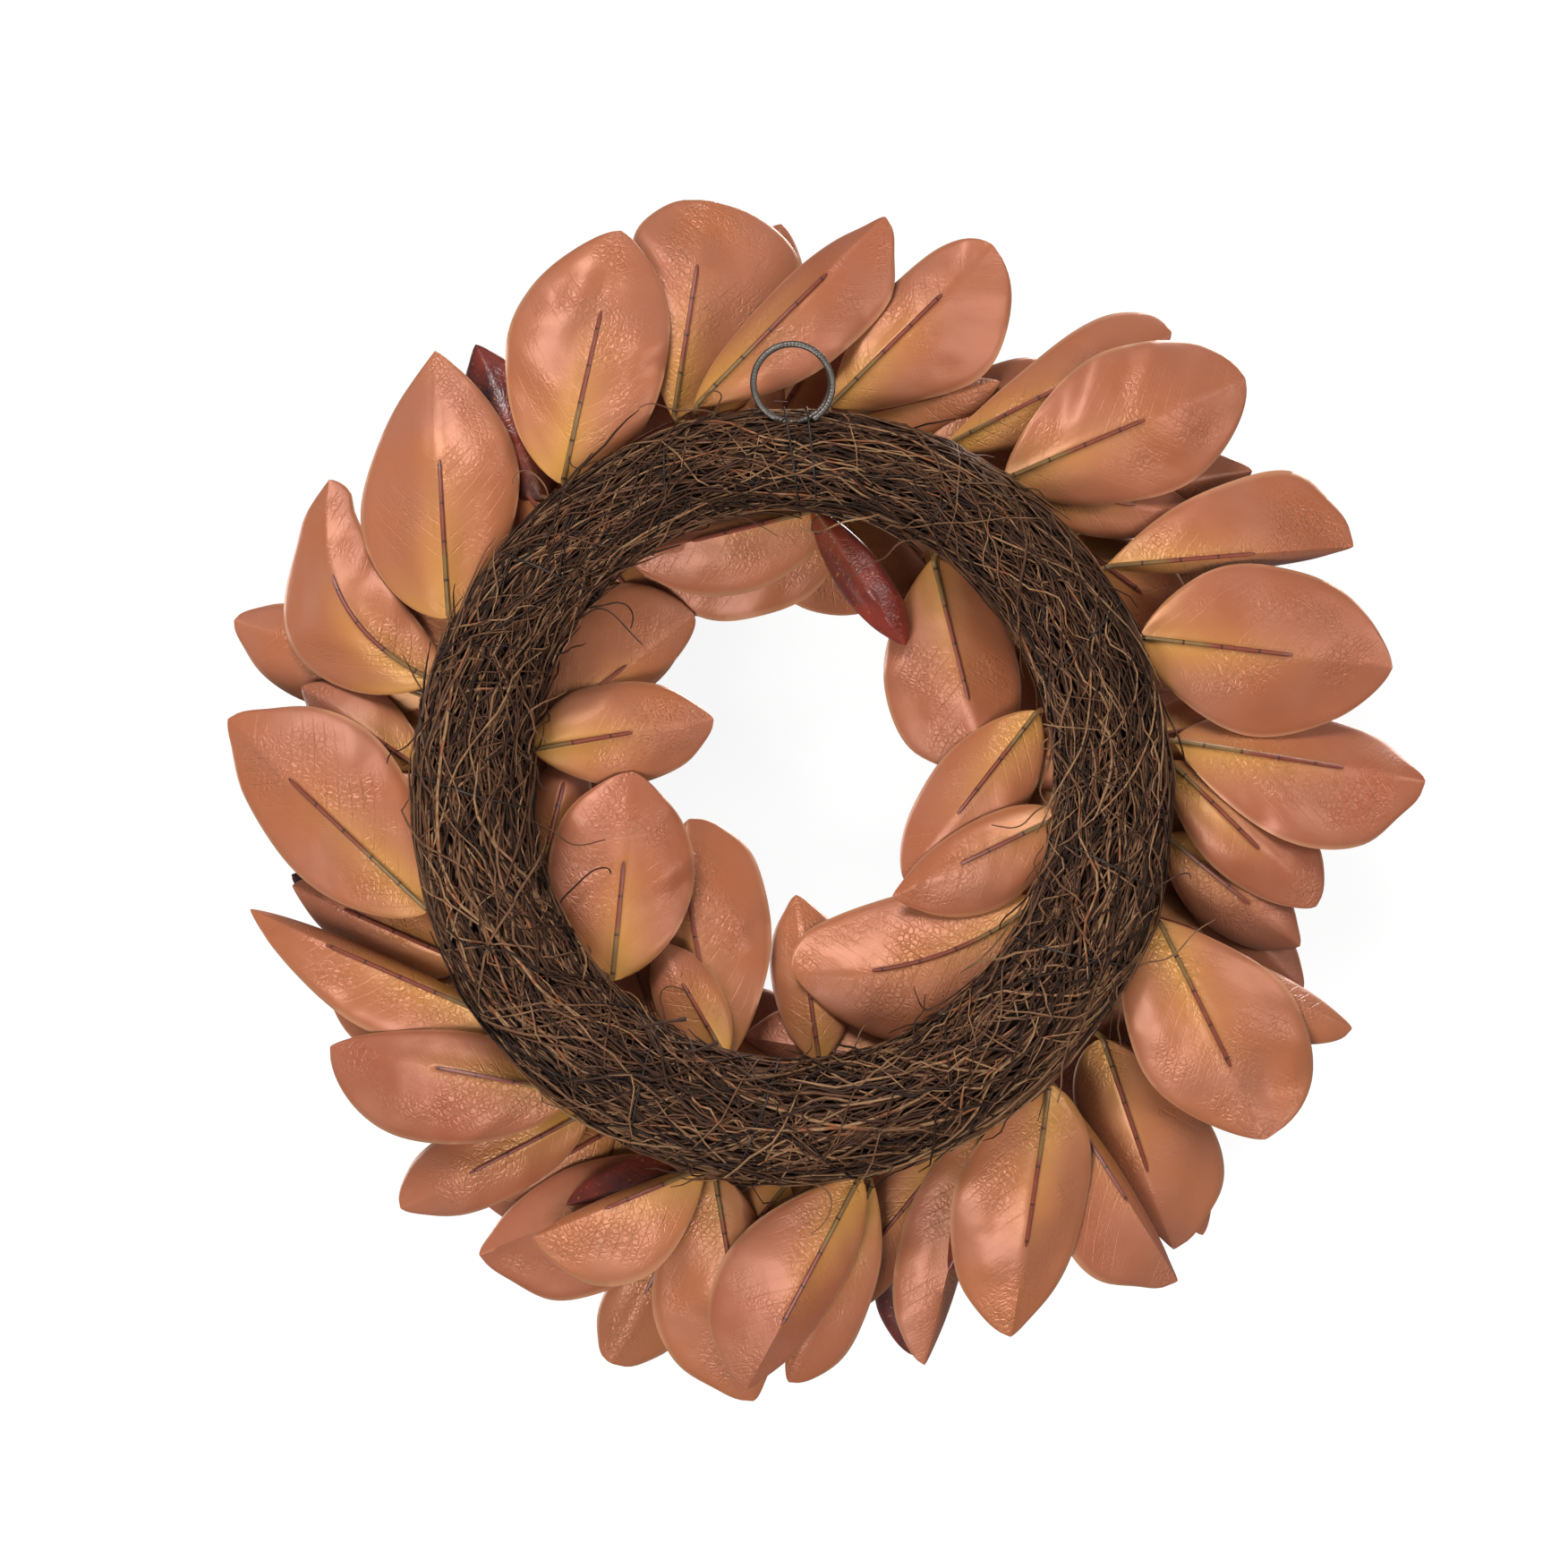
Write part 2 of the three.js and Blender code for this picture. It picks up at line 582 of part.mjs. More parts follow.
for (const [name, loop] of wires) {
  addPiece(name, wireLoop(...loop), "wire");
}

export default group;
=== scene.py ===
# %% [markdown]
# # A magnolia wreath seen from behind
#
# The real wreath is a ring of bound twigs. Moulded leaves stand all round it, copper brown on their backs
# and dark plum on their fronts, and a small steel ring at the top carries it. The scene starts from the
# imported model, which holds the true sizes, and puts a finer piece in the place of each of its nodes.

import math

import bpy
import numpy as np
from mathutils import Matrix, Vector


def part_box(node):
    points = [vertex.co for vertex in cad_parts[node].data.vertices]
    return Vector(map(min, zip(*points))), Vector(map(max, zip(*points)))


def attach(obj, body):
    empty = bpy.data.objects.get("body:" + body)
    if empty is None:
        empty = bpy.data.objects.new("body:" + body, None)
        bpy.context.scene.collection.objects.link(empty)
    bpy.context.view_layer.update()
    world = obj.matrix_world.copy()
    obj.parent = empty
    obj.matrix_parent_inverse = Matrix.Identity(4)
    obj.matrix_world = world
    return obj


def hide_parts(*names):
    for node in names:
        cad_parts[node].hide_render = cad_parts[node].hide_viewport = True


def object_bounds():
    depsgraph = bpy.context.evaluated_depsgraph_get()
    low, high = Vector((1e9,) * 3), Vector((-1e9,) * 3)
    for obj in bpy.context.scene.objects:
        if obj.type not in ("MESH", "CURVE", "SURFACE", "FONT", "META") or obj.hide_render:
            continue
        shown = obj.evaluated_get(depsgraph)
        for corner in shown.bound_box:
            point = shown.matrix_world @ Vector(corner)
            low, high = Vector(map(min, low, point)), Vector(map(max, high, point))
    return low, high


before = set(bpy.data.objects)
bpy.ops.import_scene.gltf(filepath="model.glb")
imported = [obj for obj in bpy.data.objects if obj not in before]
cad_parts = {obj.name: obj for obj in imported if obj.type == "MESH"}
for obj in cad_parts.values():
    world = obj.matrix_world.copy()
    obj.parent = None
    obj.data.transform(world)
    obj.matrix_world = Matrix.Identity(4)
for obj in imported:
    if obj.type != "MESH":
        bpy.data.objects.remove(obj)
cad_low, cad_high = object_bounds()
print("nodes in the frame:", len(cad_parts), "box in metres:", tuple(cad_low), tuple(cad_high))

# %% [markdown]
# ## Units and small helpers
#
# The wreath is laid out in millimetres as somebody sees it from behind: right, up and near, counted from the
# centre of the twig ring. One function turns that into metres in the frame of the model, where the origin is
# the top of the inside of the hanging ring and the wreath's back faces +Y.

# %% Layout
HANG_RADIUS = 21.0  # middle of the hanging ring's wire
HANG_WIRE = 1.8  # radius of that wire
HANG_UP = 225.0  # its centre above the centre of the twig ring
HANG_NEAR = 17.0  # its plane, nearer than the middle of the twigs
ORIGIN_UP = HANG_UP + HANG_RADIUS - HANG_WIRE
RING_SHAPE = (177.0, 5.0, 3.0)  # radius of the twigs' middle line, and how it swings once and twice round
BUNDLE_SHAPE = (27.6, -3.5, -1.0)  # the same for the bundle, which is thinner at the top than at the bottom
MILLIMETRE = 0.001


def to_frame(points):
    """Points [right, up, near] in millimetres become [x, y, z] in metres."""
    right, up, near = np.moveaxis(np.asarray(points, float), -1, 0)
    return np.stack([-right, near - HANG_NEAR, up - ORIGIN_UP], axis=-1) * MILLIMETRE


def ring_radius(angle, shape=RING_SHAPE):
    """Middle line of the twigs, angle clockwise from the top."""
    mean, once, twice = shape
    return mean + once * np.cos(angle) + twice * np.cos(2 * angle)


def bundle_radius(angle):
    """The bundle's own radius at an angle of the ring."""
    return ring_radius(angle, BUNDLE_SHAPE)


def bundle_point(angle, turn, distance):
    """A point round the bundle: turn goes from its outer edge towards the near side."""
    radius = ring_radius(angle) + distance * np.cos(turn)
    return np.stack([radius * np.sin(angle), radius * np.cos(angle), distance * np.sin(turn)], axis=-1)


ring_low, ring_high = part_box("twig_ring")
print("twig ring across, mm:", round((ring_high.x - ring_low.x) / MILLIMETRE))

# %% [markdown]
# ## The camera, and the light of a product photograph
#
# The photograph looks straight at the back of the wreath, from far enough away that nothing is foreshortened,
# so the camera has a long lens. A pale floor lies where it would below a door, and a pale sheet hangs behind
# the wreath to catch its soft shadow. The sheet shows on one side only, so that it hides nothing from the
# other side, and a round white wall stands far out for the other views. Only the camera sees these three, so
# that they don't change the light on the leaves.

# %% Camera
PHOTO_WIDTH = 1752  # pixels
PHOTO_CENTRE = (885, 893)  # pixel of the twig ring's centre
SCALE = 0.489  # millimetres a pixel
CAMERA_DISTANCE = 4.0
LEAF_PLANE = -0.045  # metres, the middle depth of the leaves that show
SENSOR = 36.0



def new_object(name, data):
    """An object that holds the data, in the scene."""
    made = bpy.data.objects.new(name, data)
    bpy.context.scene.collection.objects.link(made)
    return made


camera_data = bpy.data.cameras.new("photo_camera")
camera = new_object("photo_camera", camera_data)
bpy.context.scene.camera = camera
frame_width = PHOTO_WIDTH * SCALE * MILLIMETRE
camera_data.sensor_width = SENSOR
camera_data.lens = SENSOR * CAMERA_DISTANCE / frame_width
aim = to_frame([(PHOTO_WIDTH / 2 - PHOTO_CENTRE[0]) * SCALE, (PHOTO_CENTRE[1] - PHOTO_WIDTH / 2) * SCALE, 0])
camera.location = (aim[0], LEAF_PLANE + CAMERA_DISTANCE, aim[2])
camera.rotation_euler = (math.radians(90), 0, math.radians(180))
print("lens, mm:", round(camera_data.lens, 1))


# %% Nodes and colours
def colour(hex_value):
    """An sRGB hex colour as the linear colour that shaders use."""
    parts = [int(hex_value[i:i + 2], 16) / 255 for i in (1, 3, 5)]
    return (*[c / 12.92 if c <= 0.04045 else ((c + 0.055) / 1.055) ** 2.4 for c in parts], 1.0)


def set_inputs(tree, node, inputs):
    """An input is a number, a hex colour, a socket, or a node whose first live output is meant."""
    for key, value in inputs.items():
        if isinstance(value, bpy.types.Node):
            value = next(output for output in value.outputs if output.enabled)
        if isinstance(value, bpy.types.NodeSocket):
            tree.links.new(value, node.inputs[key])
        elif isinstance(value, str) and value.startswith("#"):
            node.inputs[key].default_value = colour(value)
        else:
            node.inputs[key].default_value = value


def add_node(tree, kind, inputs=None, **settings):
    """Adds a node with its settings and its inputs."""
    node = tree.nodes.new(kind)
    for name, value in settings.items():
        setattr(node, name, value)
    set_inputs(tree, node, inputs or {})
    return node


def new_material(name):
    """An empty material with a Principled shader: the material, its tree and the shader."""
    material = bpy.data.materials.new(name)
    material.use_nodes = True
    tree = material.node_tree
    tree.nodes.clear()
    shader = add_node(tree, "ShaderNodeBsdfPrincipled")
    add_node(tree, "ShaderNodeOutputMaterial", {"Surface": shader})
    return material, tree, shader


# %% Stage
FLOOR_DROP = 1.6  # a wreath hangs about this high on a door
FLOOR_REACH = 9.0
SHEET_GAP = 0.03  # between the farthest leaf and the sheet
SHEET_REACH = 3.0
SHEET_TOP = 2.0
WALL_RADIUS = 9.0
WALL_SIDES = 48
WALL_TOP = 8.0


def stage_piece(name, points, faces, material):
    """A piece of the studio, which only the camera sees."""
    mesh = bpy.data.meshes.new(name)
    mesh.from_pydata(points, [], faces)
    mesh.materials.append(material)
    piece = new_object(name, mesh)
    for ray in ("diffuse", "glossy", "transmission", "shadow"):
        setattr(piece, "visible_" + ray, False)


paper, tree, shader = new_material("matt_white_paper")
set_inputs(tree, shader, {"Base Color": "#F6F5F4", "Roughness": 0.9, "Emission Color": "#FFFFFF",
                          "Emission Strength": 0.45})
floor_corners = [(x * FLOOR_REACH, y * FLOOR_REACH, -FLOOR_DROP)
                 for x, y in ((-1, -1), (1, -1), (1, 1), (-1, 1))]
stage_piece("floor", floor_corners, [(0, 1, 2, 3)], paper)

sheet_paper, tree, shader = new_material("one_sided_backlit_paper")
set_inputs(tree, shader, {"Base Color": "#6A6968", "Emission Color": "#FFFFFF", "Emission Strength": 0.9})
sheet_sides = add_node(tree, "ShaderNodeMixShader", {
    "Fac": add_node(tree, "ShaderNodeNewGeometry").outputs["Backfacing"],
    1: shader,
    2: add_node(tree, "ShaderNodeBsdfTransparent"),
})
sheet_output = next(node for node in tree.nodes if node.type == "OUTPUT_MATERIAL")
set_inputs(tree, sheet_output, {"Surface": sheet_sides})
sheet_corners = [(x * SHEET_REACH, cad_low.y - SHEET_GAP, z)
                 for x, z in ((1, -FLOOR_DROP), (-1, -FLOOR_DROP), (-1, SHEET_TOP), (1, SHEET_TOP))]
stage_piece("backdrop", sheet_corners, [(0, 1, 2, 3)], sheet_paper)

wall_paint, tree, shader = new_material("bright_wall_paint")
set_inputs(tree, shader, {"Base Color": "#404040", "Emission Color": "#FFFFFF", "Emission Strength": 1.0})
wall_turn = np.linspace(0, 2 * np.pi, WALL_SIDES, endpoint=False)
wall_points = [(WALL_RADIUS * math.cos(a), WALL_RADIUS * math.sin(a), z)
               for z in (-FLOOR_DROP, WALL_TOP) for a in wall_turn]
wall_faces = [(i, i + WALL_SIDES, (i + 1) % WALL_SIDES + WALL_SIDES, (i + 1) % WALL_SIDES)
              for i in range(WALL_SIDES)]
stage_piece("studio_wall", wall_points, wall_faces, wall_paint)

world = bpy.data.worlds.new("white_studio")
world.use_nodes = True
set_inputs(world.node_tree, world.node_tree.nodes["Background"], {"Color": "#FAFAFB", "Strength": 0.25})
bpy.context.scene.world = world


def softbox(name, place, size, power):
    """A square softbox that faces the middle of the wreath. Place is seen from behind: right, up, near."""
    data = bpy.data.lights.new(name, "AREA")
    data.shape = "SQUARE"
    data.size = size
    data.energy = power
    light = new_object(name, data)
    light.location = to_frame(np.asarray(place) / MILLIMETRE)
    towards = to_frame([0, 0, 0]) - np.asarray(light.location)
    light.rotation_mode = "QUATERNION"
    light.rotation_quaternion = Vector(towards).to_track_quat("-Z", "Y")


softbox("key_light", (-0.8, 2.5, 2.6), 1.5, 102)
softbox("side_light", (2.6, 0.4, 1.9), 1.2, 30)
softbox("fill_light", (-1.2, -1.9, 2.8), 1.6, 92)
softbox("front_key_light", (1.1, 1.9, -1.9), 1.0, 75)
softbox("front_side_light", (-1.9, 0.2, -1.5), 1.2, 20)
bpy.context.scene.view_settings.view_transform = "Standard"

# %% [markdown]
# ## The shape of a leaf
#
# A real leaf has an outline, a droop, a curve from side to side and many small waves. The first three come
# from the same formulas that the solid leaves use, so that every leaf stays in its place. The waves are made
# here, because a moulded sheet that was packed flat never lies even. Each leaf draws its own numbers for its
# dents, its waved edges, a crease along the midrib, soft folds, a bent tip and raised veins, and a leaf that
# shows in the photograph may set them itself. A limit keeps all of it low, so that the leaves still stack.

# %% Leaf formulas
SWEEP_DEPTH = 20.0  # all leaves sweep forwards by this at SWEEP_REACH from the twigs' middle
SWEEP_REACH = 150.0
FALL_POWER = 1.6  # how late an edge falls away from the midrib
DROOP_POWER = 1.5  # how late a tip droops
DRIP_PLACE = 0.95  # share of the length where the outline draws in to a pointed tip
DRIP_SPREAD = 0.085
RIPPLES = 1.6  # waves of the outline along a leaf
RIPPLE_STEP = 0.35  # by how much of a wave the left side is ahead of the right

USUAL = dict(leftWidest=0.5, rightWidest=0.5, baseFullness=1.4, tipFullness=1.4, bend=0.0, leftFall=8.0,
             rightFall=8.0, arch=5.0, droop=8.0, near=-3.0, tier=1.0, flip=False)


def leaf(base, tip, left, right, **more):
    """One leaf: base and tip [right, up], and the half widths left and right of its midrib."""
    return {**USUAL, "base": base, "tip": tip, "left": left, "right": right, **more}


def hill(value, place, spread):
    """A round hill, 1 high at its place."""
    return np.exp(-((value - place) / spread) ** 2)


def rise(value, start, reach):
    """0 up to start, then an even rise to 1, which it reaches at start + reach."""
    return np.clip((value - start) / reach, 0, 1)


def half_width(one, s, q):
    """Half the width at a share s of the length, on the left (q > 0) or right side."""
    widest = np.where(q > 0, one["leftWidest"], one["rightWidest"])
    width = np.where(q > 0, one["left"], one["right"])
    fullness = np.where(s < widest, one["baseFullness"], one["tipFullness"])
    towards_base = (s / widest) ** (fullness * widest)
    towards_tip = ((1 - s) / (1 - widest)) ** (fullness * (1 - widest))
    drip = 1 - one["drip"] * hill(s, DRIP_PLACE, DRIP_SPREAD)
    ripple_turn = 2 * np.pi * (RIPPLES * s + np.where(q > 0, RIPPLE_STEP, 0.0)) + one["ripple_start"]
    ripple = 1 + one["ripple"] * np.sin(ripple_turn)
    return width * towards_base * towards_tip * drip * ripple


def leaf_length(one):
    """From base to tip, in a straight line."""
    return math.hypot(one["tip"][0] - one["base"][0], one["tip"][1] - one["base"][1])


def blade_point(one, s, q):
    """A point of the middle surface: s from base to tip, q from -1 (right) to 1 (left)."""
    run = (one["tip"][0] - one["base"][0], one["tip"][1] - one["base"][1])
    length = leaf_length(one)
    arc = 4 * s * (1 - s)
    width = half_width(one, s, q)
    lateral = q * width + one["bend"] * arc
    share = width / np.where(q > 0, one["left"], one["right"])
    fall = np.where(q > 0, one["leftFall"], one["rightFall"]) * share * np.abs(q) ** FALL_POWER
    right = one["base"][0] + run[0] * s - run[1] / length * lateral
    up = one["base"][1] + run[1] * s + run[0] / length * lateral
    away = np.hypot(right, up) - ring_radius(np.arctan2(right, up))
    sweep = SWEEP_DEPTH * (away / SWEEP_REACH) ** 2
    near = one["near"] + one["arch"] * arc - one["droop"] * s ** DROOP_POWER - fall - sweep
    return np.stack([right, up, near + relief(one, s, q, width)], axis=-1)


# %% Leaf relief
VEIN_SPACING = 9.0  # millimetres between the side veins
VEIN_SLANT = 0.75  # how far they lean towards the tip
VEIN_BEND = 120.0  # the radius, roughly, on which they turn towards the tip
VEIN_HEIGHT = 0.05
CREASE_SOFTNESS = 2.2  # millimetres over which the blade bends at a crease along it
FOLD_SOFTNESS = 3.5  # and at a fold across it
WAVE_LIMITS = (9.0, 5.0, 4.0)  # millimetres for the nearest leaves, for those behind them and for the front
HIDDEN_TIERS = (1.9, 4.9)  # the tiers from which the second and the third limit count
FULL_WAVES_WIDTH = 80  # millimetres of width from which a leaf has its full waves
EDGE_POWER = 2.4  # how close to the edge the waves of the edge stay
PLEAT_POWER = 1.1  # and how close to it the folds between the veins stay
PLEAT_SECOND = 0.35  # height of a fold's second, shorter wave
DENT_AWAY = 0.38  # share of the half width where a dent lies
DENT_SPREADS = (0.15, 0.2)  # along the leaf and across it
CREASE_RUN = (1.2, 0.55)  # a crease starts this much farther out, and comes in by this towards the tip
PINCH = (0.45, 0.4)  # the share of the length where the tip starts to close, and over which it does
CURL = (0.78, 0.22)  # the same for the curl of the tip
TIP_FLAT = 0.1  # share of the length at the tip in which the midrib runs out
MIDRIB_HEIGHT = 0.6
MIDRIB_WIDTH = 1.9
GROOVE_AWAY = 6  # millimetres from the midrib to the shallow groove beside it
GROOVE_WIDTH = 4
VEIN_START = 6  # millimetres over which the veins rise beside the midrib
RIM_TURN = (0.86, 0.14)  # share of the half width where the rim starts to turn down, and over which it does
RIM_DROP = 1.2
PAIRS = ("crease", "crease_fall", "pleat", "pleat_length", "pleat_start", "edge_wave", "edge_count",
         "edge_start", "dent_depth", "dent_place")


def draw_waves(one, seed):
    """The numbers that make a leaf unlike its neighbours, unless its list entry gives them.

    Pairs are for the right and the left half. A fold is where it crosses the midrib, how many degrees the
    part beyond it lies to the left, and how steeply that part falls away.
    """
    draw = np.random.default_rng(seed)
    size = min(1.0, (one["left"] + one["right"]) / FULL_WAVES_WIDTH)
    hand = draw.choice([-1, 1])
    drawn = {
        "roll": draw.uniform(-0.13, 0.13),
        "hump": draw.uniform(-3, 3) * size,
        "pinch": draw.uniform(-0.1, 0.35) * size,
        "folds": [(draw.uniform(0.55, 0.78), hand * draw.uniform(25, 65), draw.uniform(0.15, 0.42) * size)],
        "crease": draw.uniform(0.3, 0.7, 2),
        "crease_fall": draw.uniform(-0.2, 0.5, 2) * size,
        "pleat": draw.uniform(0.8, 2.4, 2) * size,
        "pleat_length": draw.uniform(34, 60, 2),
        "pleat_start": draw.uniform(0, 2 * math.pi, 2),
        "edge_wave": draw.uniform(1.0, 3.2, 2) * size,
        "edge_count": draw.uniform(0.8, 2.1, 2),
        "edge_start": draw.uniform(0, 2 * math.pi, 2),
        "dent_depth": draw.uniform(0.5, 3.5, 2) * size,
        "dent_place": draw.uniform(0.22, 0.7, 2),
        "curl": draw.uniform(-6, 6) * size,
        "drip": draw.uniform(0.0, 0.2),
        "ripple": draw.uniform(0.005, 0.035),
        "ripple_start": draw.uniform(0, 2 * math.pi),
        "rib_end": draw.uniform(0.55, 0.7),
        "tone": draw.uniform(-1, 1),
        "glow": draw.uniform(0.35, 1.0, 2),
        "flush": draw.uniform(-0.1, 0.25),
        "wave_limit": WAVE_LIMITS[np.searchsorted(HIDDEN_TIERS, one["tier"])],
    }
    for name, value in drawn.items():
        one.setdefault(name, value)


def relief(one, s, q, width):
    """How far the surface stands out towards the near side, in millimetres."""
    side = np.where(q > 0, 1, 0)
    half = {name: np.asarray(one[name])[side] for name in PAIRS}
    away = np.abs(q)
    across = away * width
    reach = s * leaf_length(one)
    ends = np.sin(np.pi * np.clip(s, 0, 1)) ** 0.5
    height = one["roll"] * q * width + one["hump"] * ends
    edge_turn = 2 * np.pi * half["edge_count"] * s + half["edge_start"]
    height += half["edge_wave"] * away ** EDGE_POWER * ends * np.sin(edge_turn)
    pleat_turn = 2 * np.pi * (reach - VEIN_SLANT * across) / half["pleat_length"] + half["pleat_start"]
    pleat = np.sin(pleat_turn) + PLEAT_SECOND * np.sin(2 * pleat_turn)
    height += half["pleat"] * pleat * away ** PLEAT_POWER * ends
    dent = ((s - half["dent_place"]) / DENT_SPREADS[0]) ** 2 + ((away - DENT_AWAY) / DENT_SPREADS[1]) ** 2
    height -= half["dent_depth"] * np.exp(-dent)
    past_crease = (away - half["crease"] * (CREASE_RUN[0] - CREASE_RUN[1] * s)) * width
    height -= half["crease_fall"] * ends * CREASE_SOFTNESS * np.logaddexp(0, past_crease / CREASE_SOFTNESS)
    height -= one["pinch"] * across * rise(s, *PINCH) ** 1.5
    for crossing, leftwards, fall in one["folds"]:
        turn = math.radians(leftwards)
        beyond = (reach - crossing * leaf_length(one)) * math.cos(turn) + q * width * math.sin(turn)
        height -= fall * FOLD_SOFTNESS * np.logaddexp(0, beyond / FOLD_SOFTNESS)
    height += one["curl"] * rise(s, *CURL) ** 2
    height = one["wave_limit"] * np.tanh(height / one["wave_limit"])
    height += MIDRIB_HEIGHT * hill(across, 0, MIDRIB_WIDTH) * rise(1 - s, 0, TIP_FLAT)
    height -= hill(across, GROOVE_AWAY, GROOVE_WIDTH) * (1 - s) * ends
    vein_turn = 2 * np.pi * (reach - VEIN_SLANT * across - across ** 2 / VEIN_BEND) / VEIN_SPACING
    height += VEIN_HEIGHT * np.cos(vein_turn) * rise(across, 0, VEIN_START) * (1 - away ** 4)
    return height - RIM_DROP * rise(away, *RIM_TURN) ** 2 * ends


LONGEST_LEAF = 140  # millimetres
print("side veins on each side of the longest leaf:", round(LONGEST_LEAF / VEIN_SPACING))

# %% [markdown]
# ## The leaves in their places
#
# The leaves that show in the photograph were measured there, so they are a list. Each has its base and tip
# seen from behind, and the half widths left and right of the midrib. The tier is the order from the nearest
# to the farthest, and a flipped leaf shows its dark front. The wreath's own front is hidden in the
# photograph: its leaves come from a rule with seeded draws, and a few small ones fill the gaps between the
# others.

